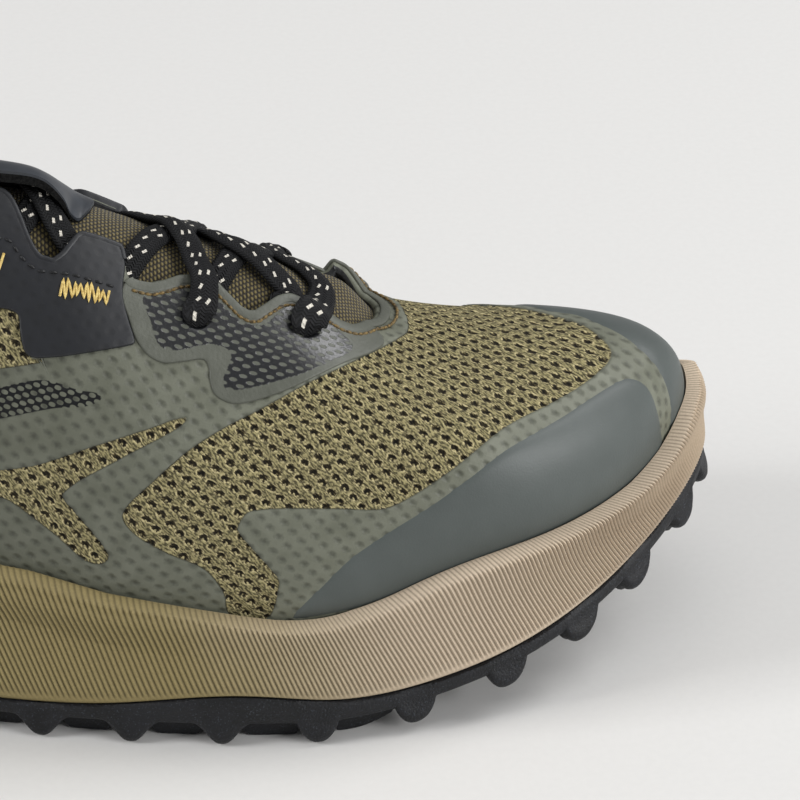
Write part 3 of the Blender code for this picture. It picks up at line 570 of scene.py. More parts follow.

# Moulded foam: a dry, dull skin with faint pores. The grooves between the ribs are darkened with painted
# shade.
foam, tree, shader = new_finish("moulded_foam_rubber", 0.72, Specular_IOR_Level=0.35)
FADE_START = 168.0
FADE_END = 236.0
FADE_SLANT = 0.6
place = add_node(tree, "TexCoord", out="Object")
length = add_node(tree, "SeparateXYZ", [place])
height = add_node(tree, "SeparateXYZ", [place], out="Z")
cloud = add_node(tree, "TexNoise", {"Vector": place, "Scale": 1 / (14 * MM), "Detail": 3.0})
along = add_node(tree, "Math", [height, FADE_SLANT, length], operation="MULTIPLY_ADD")
along = add_node(tree, "Math", [cloud, 12 * MM, along], operation="MULTIPLY_ADD")
fade = add_node(tree, "MapRange", [along, (FADE_START + MOVE[0] + 6) * MM, (FADE_END + MOVE[0] + 6) * MM],
                interpolation_type="SMOOTHSTEP")
dye = add_node(tree, "Mix", {"Factor": fade, 6: linear("#8d7f56"), 7: linear("#c2b19b")}, **BLEND)
pores = add_node(tree, "TexNoise", {"Vector": place, "Scale": 1 / (0.5 * MM), "Detail": 2.0})
shade = add_node(tree, "MapRange", [pores, 0.3, 0.75, 0.9, 1.05])
groove = add_node(tree, "Attribute", attribute_name="groove", out="Fac")
# Painted shade: the grooves between the ribs are darkened, down to half their tone.
shadow = add_node(tree, "MapRange", [groove, 0.35, 1.0, 1.0, 0.5])
dye_with_groove_shade = add_node(tree, "Mix", {"Factor": 1.0, 6: dye, 7: shade}, **TINT)
dye_with_groove_shade = add_node(tree, "Mix", {"Factor": 1.0, 6: dye_with_groove_shade, 7: shadow}, **TINT)
relief = add_node(tree, "Bump", {"Height": pores, "Distance": 0.05 * MM})
connect(shader, Base_Color=dye_with_groove_shade, Normal=relief)
settle(midsole, [foam], "midsole", slot="midsole_foam")

# Insole
# A loose sheet of foam with a dark cloth face, cut to the inside of the cup and laid in it.
UPPER_WALL = 2.2
INSOLE_GAP = 0.5
INSOLE_THICKNESS = 4.0
INSOLE_COLUMNS = 240

around = np.linspace(0, 1, INSOLE_COLUMNS + 1)
rows, out, _ = loops_at(around)
insole_profile = []
INSOLE_EDGE = RIM_WIDTH + UPPER_WALL + INSOLE_GAP
# From the edge inwards: inset in mm and share of the thickness.
INSOLE_FACE = ((0.0, 0.0), (0.0, 0.6), (0.3, 0.85), (1.2, 1.0), (4.0, 1.0), (12.0, 0.96), (20.0, 0.95))
for inset, lift in INSOLE_FACE:
    edge = rows[:, :2] - (INSOLE_EDGE + inset) * out[:, :2]
    insole_profile.append(np.column_stack([edge, footbed(edge[:, 0]) + GAP + lift * INSOLE_THICKNESS]))
insole_profile.append(spine(rows[:, 0], lambda x: footbed(x) + GAP + 0.95 * INSOLE_THICKNESS))
insole_profile.insert(0, spine(rows[:, 0], lambda x: footbed(x) + GAP))
insole = lay_grid("insole_sheet", np.stack(insole_profile, axis=1))


def mottled(name, roughness, grain, detail, stops, bump, **values):
    """Material whose tone and low relief both follow one noise, with grains of this size in mm."""
    material, tree, shader = new_finish(name, roughness, **values)
    place = add_node(tree, "TexCoord", out="Object")
    noise = add_node(tree, "TexNoise", {"Vector": place, "Scale": 1 / (grain * MM), "Detail": detail})
    tone = add_node(tree, "ValToRGB", [noise], stops)
    relief = add_node(tree, "Bump", {"Height": noise, "Distance": bump * MM})
    connect(shader, Base_Color=tone, Normal=relief)
    return material


# Insole cloth: charcoal, brushed to a short dull nap.
nap_tones = ((0.0, "#26262a"), (1.0, "#3a3a3c"))
insole_cloth = mottled("brushed_insole_cloth", 0.95, 0.7, 3.0, nap_tones, 0.2, Sheen_Weight=0.3)
settle(insole, [insole_cloth], "insole", slot="insole_foam")

# Upper
# One knitted shell, lasted and glued into the foam cup. A thin film is fused over most of its outside and
# leaves windows where the open knit shows. A cloth lining closes the inside, padded at the collar.
COLLAR_PAD = 5.0
PAD_END = 3.3
PAD_FADE = 0.8
# Behind the toe the inner side of the vamp sags. The inner edge beside the front of the tongue stands up.
VAMP_SAG = 4.0
FLAP_RISE = 4.2


def worn_shape(turn, climb):
    """Height in mm that wear adds to the upper's face or takes from it."""
    places = place_at(turn)
    sag = smooth_step(places, 10.6, 11.55) * (1 - smooth_step(places, 11.8, 13.6))
    sag = sag * smooth_step(climb, 0.1, 0.42) * (1 - smooth_step(climb, 0.72, 0.98))
    flap = smooth_step(places, 11.35, 12.1) * (1 - smooth_step(places, 12.2, 12.42))
    flap = flap * smooth_step(climb, 0.74, 1.0)
    return FLAP_RISE * flap - VAMP_SAG * sag


def on_upper(around, share, lift=0.0):
    """Points of the upper's outer face, raised along its normals. around, share and lift have one shape."""
    around = np.asarray(around, float)
    share = np.broadcast_to(share, around.shape)

    def face(turn, climb):
        rows, edge_out, open_out = loops_at(turn)
        t = climb[:, None]
        foot = rows[:, :3] - RIM_WIDTH * edge_out
        dip = np.radians(rows[:, 10:11])
        low = foot + rows[:, 7:8] * UP + rows[:, 8:9] * edge_out
        high = rows[:, 4:7] + rows[:, 9:10] * (np.cos(dip) * open_out - np.sin(dip) * UP)
        curve = (1 - t) ** 3 * foot + 3 * (1 - t) ** 2 * t * low + 3 * (1 - t) * t**2 * high
        return curve + t**3 * rows[:, 4:7] + worn_shape(turn, climb)[:, None] * UP

    turn, climb = around.ravel(), share.ravel()
    small = 1e-4
    along = face(turn + small, climb) - face(turn - small, climb)
    normal = np.cross(along, face(turn, climb + small) - face(turn, climb - small))
    normal /= np.linalg.norm(normal, axis=1, keepdims=True)
    points = face(turn, climb) + normal * np.broadcast_to(lift, around.shape).ravel()[:, None]
    return points.reshape(around.shape + (3,)), normal.reshape(around.shape + (3,))


# The maker's flat pattern of the upper: the shell slit at the heel and laid flat, in mm.
FLAT_COLUMNS = 240
FLAT_ROWS = 40


def lay_flat():
    """Flat positions of a coarse grid of the shell, turned so that the first axis runs to the toe."""
    turns, climbs = np.meshgrid(np.linspace(5e-05, 1 - 5e-05, FLAT_COLUMNS + 1),
                                np.linspace(0, 1, FLAT_ROWS + 1))
    shell = on_upper(turns, climbs)[0]
    bpy.ops.object.select_all(action="DESELECT")
    bpy.ops.mesh.primitive_grid_add(x_subdivisions=FLAT_COLUMNS, y_subdivisions=FLAT_ROWS, size=1)
    sheet = bpy.context.object
    sheet.data.vertices.foreach_set("co", shell.astype(np.float32).ravel())
    sheet.data.update()
    bpy.ops.object.mode_set(mode="EDIT")
    bpy.ops.mesh.select_all(action="SELECT")
    bpy.ops.uv.unwrap(method="ANGLE_BASED", margin=0.0)
    bpy.ops.object.mode_set(mode="OBJECT")
    corners = np.empty(len(sheet.data.loops), np.int32)
    sheet.data.loops.foreach_get("vertex_index", corners)
    map_corners = np.empty(len(corners) * 2, np.float32)
    sheet.data.uv_layers[0].data.foreach_get("uv", map_corners)
    flat = np.zeros((shell.shape[0] * shell.shape[1], 2))
    flat[corners] = map_corners.reshape(-1, 2)
    flat = flat.reshape(shell.shape[0], shell.shape[1], 2).transpose(1, 0, 2)
    shell = shell.transpose(1, 0, 2)
    real = np.linalg.norm(np.diff(shell, axis=0), axis=2)
    flat *= np.median(real / np.linalg.norm(np.diff(flat, axis=0), axis=2))
    bpy.data.objects.remove(sheet, do_unlink=True)
    toe = FLAT_COLUMNS // 2
    forward = flat[toe, 0] - flat[toe, -1]
    forward /= np.linalg.norm(forward)
    left = np.array([-forward[1], forward[0]])
    flat = flat - flat[toe, -1]
    flat = np.stack([flat @ forward, flat @ left], axis=-1)
    if flat[FLAT_COLUMNS // 4, 10, 1] > 0:
        flat[:, :, 1] *= -1
    return flat


FLAT = lay_flat()


def flat_at(around, share):
    """Flat pattern position of spots on the shell."""
    column = np.clip(np.asarray(around, float), 0, 1) * FLAT_COLUMNS
    row = np.clip(np.asarray(share, float), 0, None) * FLAT_ROWS
    i = np.clip(column.astype(int), 0, FLAT_COLUMNS - 1)
    j = np.clip(row.astype(int), 0, FLAT_ROWS - 1)
    a, b = (column - i)[..., None], (row - j)[..., None]
    near = FLAT[i, j] * (1 - a) + FLAT[i + 1, j] * a
    return near * (1 - b) + (FLAT[i, j + 1] * (1 - a) + FLAT[i + 1, j + 1] * a) * b


flat_tree = KDTree(FLAT[:, :, 0].size)
for number, spot in enumerate(FLAT.reshape(-1, 2)):
    flat_tree.insert((spot[0], spot[1], 0.0), number)
flat_tree.balance()


def from_flat(points):
    """Shares around and up of flat pattern positions, by a few steps from the nearest grid spot."""
    nearest = np.array([flat_tree.find((point[0], point[1], 0.0))[1] for point in points])
    around = (nearest // (FLAT_ROWS + 1)) / FLAT_COLUMNS
    share = (nearest % (FLAT_ROWS + 1)) / FLAT_ROWS
    small = 1e-4
    for _ in range(12):
        miss = points - flat_at(around, share)
        by_around = (flat_at(around + small, share) - flat_at(around - small, share)) / (2 * small)
        by_share = (flat_at(around, share + small) - flat_at(around, share - small)) / (2 * small)
        size = by_around[:, 0] * by_share[:, 1] - by_around[:, 1] * by_share[:, 0]
        size = np.where(np.abs(size) < 1.0, 1e9, size)
        onward = (miss[:, 0] * by_share[:, 1] - miss[:, 1] * by_share[:, 0]) / size
        upward = (miss[:, 1] * by_around[:, 0] - miss[:, 0] * by_around[:, 1]) / size
        around = around + np.clip(onward, -0.02, 0.02)
        share = share + np.clip(upward, -0.1, 0.1)
        around, share = np.clip(around, 0.0002, 0.9998), np.clip(share, 0.0002, 1.16)
    return around, share


# The knit is a net of small holes in rows across the foot. Towards the toe the rows draw together.
HOLE_PITCH = 3.7
ROW_PITCH = 2.7
ROW_GROWTH = 0.0022
growth_start = flat_at(around_at(4.5), 0.3)[0]


def net_position(flat):
    """Position in the knit's net, in mm, of a flat pattern position."""
    ahead = np.clip(flat[..., 0] - growth_start, 0, None)
    along = flat[..., 0] + ROW_GROWTH * ahead**2 / 2
    return np.stack([along, flat[..., 1] * (1 + ROW_GROWTH * ahead)], axis=-1)


def net_hole(net):
    """1 in the middle of a hole of the knit, 0 on the yarn between holes."""
    row = np.floor(net[..., 0] / ROW_PITCH)
    t = net[..., 0] / ROW_PITCH - row - 0.5
    v = net[..., 1] / HOLE_PITCH + 0.5 * np.mod(row, 2)
    v = v - np.floor(v) - 0.5
    return np.clip(1 - np.sqrt((t / 0.48) ** 2 + (v / 0.24) ** 2), 0, 1)


# Edge of the throat: share of the wall at places from the heel to the toe, the same on both sides. Behind the
# toe the edge dips in three round notches, and the tabs between them carry the lace.
THROAT_PLACES = (0.0, 2.9, 3.3, 3.7, 3.8, 3.85, 3.885, 3.94, 4.05, 4.15, 4.26, 4.32, 4.36, 4.52, 4.74,
                 4.78, 4.9, 5.0, 5.2, 5.43, 5.7, 5.9, 6.06, 6.22, 6.35, 6.49, 6.7, 6.9, 7.08, 7.4, 7.57,
                 7.74, 7.96, 8.2, 8.51, 10.0)
THROAT_SHARES = (1.0, 1.0, 1.08, 1.12, 1.11, 1.07, 0.95, 0.9, 0.887, 0.908, 0.946, 0.968, 0.973, 0.976,
                 0.98, 0.9, 0.904, 0.911, 0.93, 0.956, 0.972, 0.97, 0.943, 0.913, 0.905, 0.912, 0.942,
                 0.972, 0.99, 0.99, 0.984, 0.974, 0.974, 0.985, 0.998, 1.0)
fine_places = np.linspace(0, 10, 2001)
fine_shares = np.interp(fine_places, THROAT_PLACES, THROAT_SHARES)
kernel = np.hanning(17) / np.hanning(17).sum()
fine_shares = np.convolve(np.pad(fine_shares, 8, mode="edge"), kernel, mode="valid")


def throat_top(around):
    """Share of the wall at which the scalloped edge of the throat runs."""
    return np.interp(side_place(around), fine_places, fine_shares)


def closed_curve(spots, spacing=0.6):
    """Smooth closed flat outline through spots given as place and share."""
    spots = np.array(spots, float)
    corners = flat_at(around_at(spots[:, 0]), spots[:, 1])
    before, after, later = (np.roll(corners, shift, axis=0) for shift in (1, -1, -2))
    curve = []
    for a, b, c, d in zip(before, corners, after, later):
        count = max(2, int(np.linalg.norm(c - b) / spacing))
        t = (np.arange(count) / count)[:, None]
        tight = np.linalg.norm(c - b)
        start = (c - a) / max(np.linalg.norm(c - a), 1e-6) * tight * 0.9
        end = (d - b) / max(np.linalg.norm(d - b), 1e-6) * tight * 0.9
        curve.append(hermite(t, b, c, start, end))
    return np.concatenate(curve)


def edge_distance(points, loop):
    """Distance in mm from a closed flat outline, positive inside it."""
    shape = points.shape[:-1]
    points = points.reshape(-1, 2)
    found = np.full(len(points), -9.0)
    close = np.all((points > loop.min(axis=0) - 4) & (points < loop.max(axis=0) + 4), axis=1)
    near = points[close]
    best = np.full(len(near), 81.0)
    inside = np.zeros(len(near), bool)
    for start, end in zip(loop, np.roll(loop, -1, axis=0)):
        step = end - start
        t = np.clip((near - start) @ step / max(step @ step, 1e-9), 0, 1)
        best = np.minimum(best, ((near - start - t[:, None] * step) ** 2).sum(axis=1))
        crosses = (start[1] > near[:, 1]) != (end[1] > near[:, 1])
        rise = step[1] if abs(step[1]) > 1e-9 else 1e-9
        inside ^= crosses & (near[:, 0] < start[0] + (near[:, 1] - start[1]) * step[0] / rise)
    found[close] = np.where(inside, 1, -1) * np.sqrt(best)
    return found.reshape(shape)


def other_side(spots):
    return [(LAST_PLACE - place, share) for place, share in spots]


SIDES = (("outer", list), ("inner", other_side))


# Windows in the film, as places and shares of the wall.
VAMP_LOWER = [(4.96, 0.492), (4.55, 0.371), (4.28, 0.271), (4.34, 0.221), (4.54, 0.183), (4.8, 0.15),
              (4.9, 0.079), (4.93, 0.0), (5.27, 0.0), (5.48, 0.133), (5.48, 0.158), (5.21, 0.275),
              (5.2, 0.3), (5.43, 0.354), (6.34, 0.35), (6.8, 0.304), (7.12, 0.317), (7.54, 0.379),
              (8.26, 0.517), (8.83, 0.529), (9.12, 0.512), (9.48, 0.492), (9.7, 0.496), (9.93, 0.533),
              (10.29, 0.579), (10.52, 0.625), (10.7, 0.662)]
VAMP_UPPER = [(5.51, 0.575), (6.09, 0.637), (6.76, 0.708), (7.48, 0.812), (8.24, 0.912), (8.7, 0.933),
              (9.15, 0.938), (9.57, 0.946), (10.21, 0.954), (10.99, 0.938)]
VAMP_INNER = [(11.0, 0.69), (11.4, 0.66), (12.0, 0.5), (12.46, 0.4)]
vamp = VAMP_LOWER + VAMP_INNER + other_side(VAMP_LOWER[16::-1]) + other_side(VAMP_UPPER[:6])
vamp = vamp + VAMP_UPPER[::-1]
ARROW = [(3.54, 0.354), (3.74, 0.371), (4.12, 0.433), (4.68, 0.521), (5.04, 0.579), (4.93, 0.546),
         (4.35, 0.421), (3.88, 0.3), (3.93, 0.258), (4.06, 0.188), (4.13, 0.133), (4.07, 0.104),
         (3.97, 0.108), (3.81, 0.175), (3.57, 0.263), (3.52, 0.271), (3.3, 0.3), (3.2, 0.34)]
COLLAR = [(3.69, 0.779), (3.75, 0.758), (3.74, 0.692), (3.79, 0.646), (3.87, 0.642), (3.77, 0.633),
          (3.6, 0.633), (3.2, 0.66), (2.5, 0.7), (1.5, 0.72), (0.6, 0.74), (0.02, 0.745), (0.02, 0.93),
          (1.0, 0.93), (2.0, 0.93), (3.0, 0.93), (3.5, 0.9)]
NET_PRINT = [(3.3, 0.56), (3.59, 0.583), (3.79, 0.592), (3.9, 0.588), (4.09, 0.571), (4.29, 0.567),
             (4.16, 0.537), (3.88, 0.521), (3.57, 0.5), (3.35, 0.49), (3.25, 0.52)]
windows = [closed_curve(spots) for spots in (vamp, ARROW, other_side(ARROW), COLLAR, other_side(COLLAR))]
prints = [closed_curve(spots) for spots in (NET_PRINT, other_side(NET_PRINT))]

# Columns stand close where the shoe is seen from near and wider at the heel.
dense = np.linspace(around_at(3.2), around_at(11.4), 404)
sparse = np.concatenate([np.linspace(around_at(11.4), 1, 130)[1:],
                         1 + np.linspace(0, around_at(3.2), 80)[1:]])
skin_around = np.concatenate([dense, sparse])
SKIN_ROWS = 128
top_edge = throat_top(skin_around)
climb = np.linspace(0, 1, SKIN_ROWS + 1) ** 0.97
turns = np.broadcast_to(skin_around[:, None], (len(skin_around), len(climb)))
shares = climb[None, :] * top_edge[:, None]
skin_flat = flat_at(np.mod(turns, 1.0), shares)
skin_net = net_position(skin_flat)
film_edge = -np.max([edge_distance(skin_flat, loop) for loop in windows], axis=0)
print_edge = np.max([edge_distance(skin_flat, loop) for loop in prints], axis=0)
FILM_THICKNESS = 0.4
hole = net_hole(skin_net)
film_mask = smooth_step(film_edge, -0.3, 0.3)
knit_lift = -FILM_THICKNESS - 0.5 * smooth_step(hole, 0.1, 0.6)
film_lift = -0.09 * smooth_step(hole, 0.0, 0.9) + 0.12 * np.exp(-(((film_edge - 0.5) / 0.5) ** 2))
skin_lift = knit_lift + (film_lift - knit_lift) * film_mask
LACE_HOLES = ((7.2, 0.908), (5.6, 0.854), (13.15, 0.908), (14.4, 0.854))
LACE_HOLE_RADIUS = 2.4


def hole_distance(flat):
    """Distance in mm from the edge of the nearest lace hole, positive outside it."""
    centres = [flat_at(around_at(place), share) for place, share in LACE_HOLES]
    return np.min([np.linalg.norm(flat - centre, axis=-1) for centre in centres], axis=0) - LACE_HOLE_RADIUS


skin_lift = skin_lift - 1.8 * (1 - smooth_step(hole_distance(skin_flat), -0.6, 0.4))
outer_face = on_upper(turns, shares, skin_lift)[0]

LINING_ROWS = 26
inner_climb = np.linspace(1, 0, LINING_ROWS + 1)
inner_turns = np.broadcast_to(skin_around[:, None], (len(skin_around), LINING_ROWS + 1))
inner_shares = inner_climb[None, :] * top_edge[:, None]
padded_part = np.clip((PAD_END - side_place(skin_around)) / PAD_FADE, 0, 1)
pad = COLLAR_PAD * np.outer(padded_part, smooth_step(inner_climb, 0.55, 0.85))
wall = UPPER_WALL + pad
lining = on_upper(inner_turns, inner_shares, -wall)[0]
crest = (outer_face[:, -1] + lining[:, 0]) / 2
rise = outer_face[:, -1] - outer_face[:, -4]
rise /= np.linalg.norm(rise, axis=1, keepdims=True)
crest = crest + rise * (wall[:, :1] * 0.3)
rows, out, _ = loops_at(np.mod(skin_around, 1.0))
foot_out = rows[:, :3] - RIM_WIDTH * out
foot_in = rows[:, :3] - (RIM_WIDTH + UPPER_WALL) * out
for foot in (foot_out, foot_in):
    foot[:, 2] = footbed(foot[:, 0]) + GAP
skin = np.concatenate([foot_out[:, None], outer_face, crest[:, None], lining[:, :-1], foot_in[:, None]],
                      axis=1)
padding = np.zeros((len(skin_around), LINING_ROWS + 2, 2))
skin_map = np.concatenate([skin_net[:, :1], skin_net, skin_net[:, -1:], padding[:, :-1]], axis=1)
first_lining_row = SKIN_ROWS + 2
ring_ends = (1, LINING_ROWS + 2)
marks = [(name, np.pad(values, ((0, 0), ring_ends), mode="edge")) for name, values in
         (("film_edge", film_edge), ("print_edge", print_edge))]
upper = lay_grid("upper_shell", skin, skin_map, first_lining_row, 180, marks)

# Knit and film: matt olive yarn around holes painted near black, partly as shade, with a painted highlight on
# the yarn round each hole, and over it a thin satin film that sinks a little into the holes below. The film's
# colour carries painted shade in these dimples, along its edge at the windows and towards the middle of the
# foot. Fine specks of darker yarn show between the holes.
def net_spot(tree, pattern, row_pitch, hole_pitch, half_along, half_across):
    """Position relative to the nearest spot of a staggered net, in half lengths and half widths of a spot."""
    along = add_node(tree, "SeparateXYZ", [pattern])
    across = add_node(tree, "SeparateXYZ", [pattern], out="Y")
    row = add_node(tree, "Math", [along, row_pitch], operation="DIVIDE")
    row_whole = add_node(tree, "Math", [row], operation="FLOOR")
    row_part = add_node(tree, "Math", [row, row_whole], operation="SUBTRACT")
    row_odd = add_node(tree, "Math", [row_whole, 2.0], operation="FLOORED_MODULO")
    half = add_node(tree, "Math", [row_odd, 0.5], operation="MULTIPLY")
    column = add_node(tree, "Math", [across, 1 / hole_pitch, half], operation="MULTIPLY_ADD")
    column_part = add_node(tree, "Math", [column, 1.0], operation="FLOORED_MODULO")
    cell = add_node(tree, "CombineXYZ", [row_part, column_part])
    size = (row_pitch / half_along, hole_pitch / half_across, 0)
    middle = (-size[0] / 2, -size[1] / 2, 0)
    return add_node(tree, "Mapping", {"Vector": cell, "Location": middle, "Scale": size})


knit, tree, shader = new_finish("film_fused_knit", 0.8, Specular_IOR_Level=0.3)
pattern = add_node(tree, "UVMap")
place = add_node(tree, "TexCoord", out="Object")
HOLE_HALF_LENGTH = 0.98
HOLE_HALF_WIDTH = 0.64
HOLE_SLANT = -17.0
LOOP_SIZE = 0.42
spot = net_spot(tree, pattern, ROW_PITCH, HOLE_PITCH, 1.0, 1.0)
spot = add_node(tree, "Mapping",
                {"Vector": spot, "Rotation": (0, 0, math.radians(HOLE_SLANT)),
                 "Scale": (HOLE_HALF_LENGTH, HOLE_HALF_WIDTH, 1)}, vector_type="TEXTURE")
reach = add_node(tree, "VectorMath", [spot], operation="LENGTH", out="Value")
loop = add_node(tree, "Mapping",
                {"Vector": spot, "Location": (-0.15 / LOOP_SIZE, 0.55 / LOOP_SIZE, 0),
                 "Scale": (1 / LOOP_SIZE, 0.6 / LOOP_SIZE, 0)})
loop = add_node(tree, "VectorMath", [loop], operation="LENGTH", out="Value")
loop = add_node(tree, "Math", [1.9, loop], operation="SUBTRACT")
hole = add_node(tree, "Math", [reach, loop], operation="MAXIMUM")
STRAND_LENGTH = 1.1
STRAND_WIDTH = 0.45
STRAND_SLANT = -32.0
laid = add_node(tree, "Mapping",
                {"Vector": pattern, "Rotation": (0, 0, math.radians(STRAND_SLANT)),
                 "Scale": (STRAND_LENGTH, STRAND_WIDTH, 1)}, vector_type="TEXTURE")
strand = add_node(tree, "TexNoise", {"Vector": laid, "Scale": 1.0, "Detail": 1.0})
fuzz = add_node(tree, "TexNoise", {"Vector": pattern, "Scale": 1 / 0.7, "Detail": 2.0})
ragged = add_node(tree, "Math", [fuzz, 0.9, hole], operation="MULTIPLY_ADD")
ragged = add_node(tree, "Math", [strand, 0.9, ragged], operation="MULTIPLY_ADD")
thread = add_node(tree, "MapRange", [ragged, 1.35, 2.7])
# The ramp paints a highlight on the yarn round each hole's edge. It paints the holes near black, partly for
# the dark lining beneath and partly as painted shade.
yarn_and_highlight_stops = ((0.27, "#252013"), (1.0, "#837b58"), (0.46, "#554c32"), (0.66, "#a89d77"))
yarn = add_node(tree, "ValToRGB", [thread], yarn_and_highlight_stops)
streak = add_node(tree, "MapRange", [strand, 0.4, 0.6, 0.28, 1.36])
knit_colour = add_node(tree, "Mix", {"Factor": 1.0, 6: yarn, 7: streak}, **TINT)
film_mark = add_node(tree, "Attribute", attribute_name="film_edge", out="Fac")
on_film = add_node(tree, "MapRange", [film_mark, -0.12, 0.12])
cloud = add_node(tree, "TexNoise", {"Vector": place, "Scale": 1 / (5 * MM), "Detail": 4.0})
film_tone = add_node(tree, "ValToRGB", [cloud], ((0.3, "#5b5d51"), (0.7, "#686a5e")))
# Painted shade: the film is darker in its dimples over the holes and lighter between them.
mottle = add_node(tree, "Math", [fuzz, 1.6, reach], operation="MULTIPLY_ADD")
dimple = add_node(tree, "MapRange", [mottle, 1.0, 2.5, 0.66, 1.16])
# Painted shade: the film gets darker from the toe to the middle of the foot, where the light falls off.
along = add_node(tree, "SeparateXYZ", [place])
darker = add_node(tree, "MapRange", [along, -20 * MM, 50 * MM, 0.78, 1.05])
dimple = add_node(tree, "Math", [dimple, darker], operation="MULTIPLY")
film_colour = add_node(tree, "Mix", {"Factor": 1.0, 6: film_tone, 7: dimple}, **TINT)
# Painted shade: the film is darker along its raised edge at the windows.
rim = add_node(tree, "MapRange", [film_mark, 0.0, 0.45, 0.72, 1.0])
film_colour = add_node(tree, "Mix", {"Factor": 1.0, 6: film_colour, 7: rim}, **TINT)
both = add_node(tree, "Mix", {"Factor": on_film, 6: knit_colour, 7: film_colour}, **BLEND)
PRINT_ROW = 1.55
PRINT_PITCH = 1.98
print_mark = add_node(tree, "Attribute", attribute_name="print_edge", out="Fac")
on_print = add_node(tree, "MapRange", [print_mark, -0.1, 0.1])
spots = net_spot(tree, pattern, PRINT_ROW, PRINT_PITCH, 0.9, 0.56)
spots = add_node(tree, "VectorMath", [spots], operation="LENGTH", out="Value")
ink = add_node(tree, "MapRange", [spots, 0.85, 1.0])
inked = add_node(tree, "Math", [ink, on_print], operation="MULTIPLY")
printed = add_node(tree, "Mix", {"Factor": inked, 6: both, 7: linear("#0b0c0e")}, **BLEND)
gloss = add_node(tree, "MapRange", [on_film, 0.0, 1.0, 0.9, 0.5])
knit_relief = add_node(tree, "Math", [strand, 1.8, ragged], operation="MULTIPLY_ADD")
sunk = add_node(tree, "MapRange", [reach, 0.0, 1.5], interpolation_type="SMOOTHSTEP")
film_relief = add_node(tree, "Math", [fuzz, 0.4, sunk], operation="MULTIPLY_ADD")
height = add_node(tree, "Mix", {"Factor": on_film, 2: knit_relief, 3: film_relief})
grain = add_node(tree, "Bump", {"Height": height, "Distance": 0.22 * MM, "Strength": 0.8})
connect(shader, Base_Color=printed, Roughness=gloss, Normal=grain)

# Lining cloth: a dark brushed knit, quite dull.
nap_tones = ((0.3, "#1e1f21"), (0.7, "#353637"))
lining_cloth = mottled("brushed_lining_knit", 0.95, 0.8, 3.0, nap_tones, 0.2, Sheen_Weight=0.3)
settle(upper, [knit, lining_cloth], "upper", slot="upper_knit")

# Toe guards
# Two smooth films, moulded with soft crowned edges and fused over the knit, one from each side of the toe.
# They do not meet: a strip of the film below runs down between them in front.
def new_piece(name, points, faces):
    """Object made of points in mm of the last and faces that list them."""
    mesh = bpy.data.meshes.new(name)
    mesh.from_pydata((points + MOVE) * MM, [], faces)
    piece = bpy.data.objects.new(name, mesh)
    bpy.context.collection.objects.link(piece)
    return piece


def cut_sheet(name, loop, under, thickness, rounding, spacing=1.1, marks=(), holes=False, start=0.2):
    """Sheet cut to a flat outline and laid on the upper, with rounded edges and its net position as map."""
    low, high = loop.min(axis=0), loop.max(axis=0)
    across, along = np.meshgrid(np.arange(low[0], high[0], spacing), np.arange(low[1], high[1], spacing))
    filling = np.stack([across, along], axis=-1).reshape(-1, 2)
    tangent = np.roll(loop, -1, axis=0) - np.roll(loop, 1, axis=0)
    tangent /= np.linalg.norm(tangent, axis=1, keepdims=True) + 1e-9
    inward = np.stack([-tangent[:, 1], tangent[:, 0]], axis=1)
    area = (loop[:, 0] * np.roll(loop[:, 1], -1) - loop[:, 1] * np.roll(loop[:, 0], -1)).sum()
    inward *= np.sign(area)
    spots = [loop]
    for depth in (rounding * 0.25, rounding * 0.6, rounding):
        ring = loop + inward * depth
        spots.append(ring[edge_distance(ring, loop) > depth * 0.9])
    keep = edge_distance(filling, loop) > rounding * 1.3
    if holes:
        keep &= np.abs(hole_distance(filling)) > 1.0
        turn = np.linspace(0, 2 * math.pi, 28, endpoint=False)
        circle = np.stack([np.cos(turn), np.sin(turn)], axis=1)
        for place, share in LACE_HOLES:
            for radius in (LACE_HOLE_RADIUS - 0.5, LACE_HOLE_RADIUS, LACE_HOLE_RADIUS + 0.6):
                ring = flat_at(around_at(place), share) + radius * circle
                spots.append(ring[edge_distance(ring, loop) > rounding])
    spots.append(filling[keep])
    corners = [Vector(spot) for spot in np.concatenate(spots)]
    cut = delaunay_2d_cdt(corners, [], [list(range(len(loop)))], 1, 1e-4)
    flat = np.array([corner[:] for corner in cut[0]])
    faces = [list(face) for face in cut[2]]
    depth = np.clip(edge_distance(flat, loop), 0, None)
    crown = np.sqrt(np.clip(1 - (1 - np.clip(depth / rounding, 0, 1)) ** 2, 0, 1))
    lift = under + thickness * (start + (1 - start) * crown)
    if holes:
        lift = lift - 1.9 * (1 - smooth_step(hole_distance(flat), -0.45, 0.15))
    around, share = from_flat(flat)
    top = on_upper(around, share, lift)[0]
    below = on_upper(around, share, np.minimum(lift, under) - 0.25)[0]
    count = len(flat)
    used = {(start, end) for face in faces for start, end in zip(face, face[1:] + face[:1])}
    walls = [(end, start, start + count, end + count) for start, end in used if (end, start) not in used]
    bottom = [[corner + count for corner in reversed(face)] for face in faces]
    piece = new_piece(name, np.concatenate([top, below]), faces + bottom + walls)
    values = [(mark, np.tile(value(flat), 2)) for mark, value in marks]
    add_maps(piece.data, net_position(np.concatenate([flat, flat])), values)
    close_up(piece, 50)
    return piece


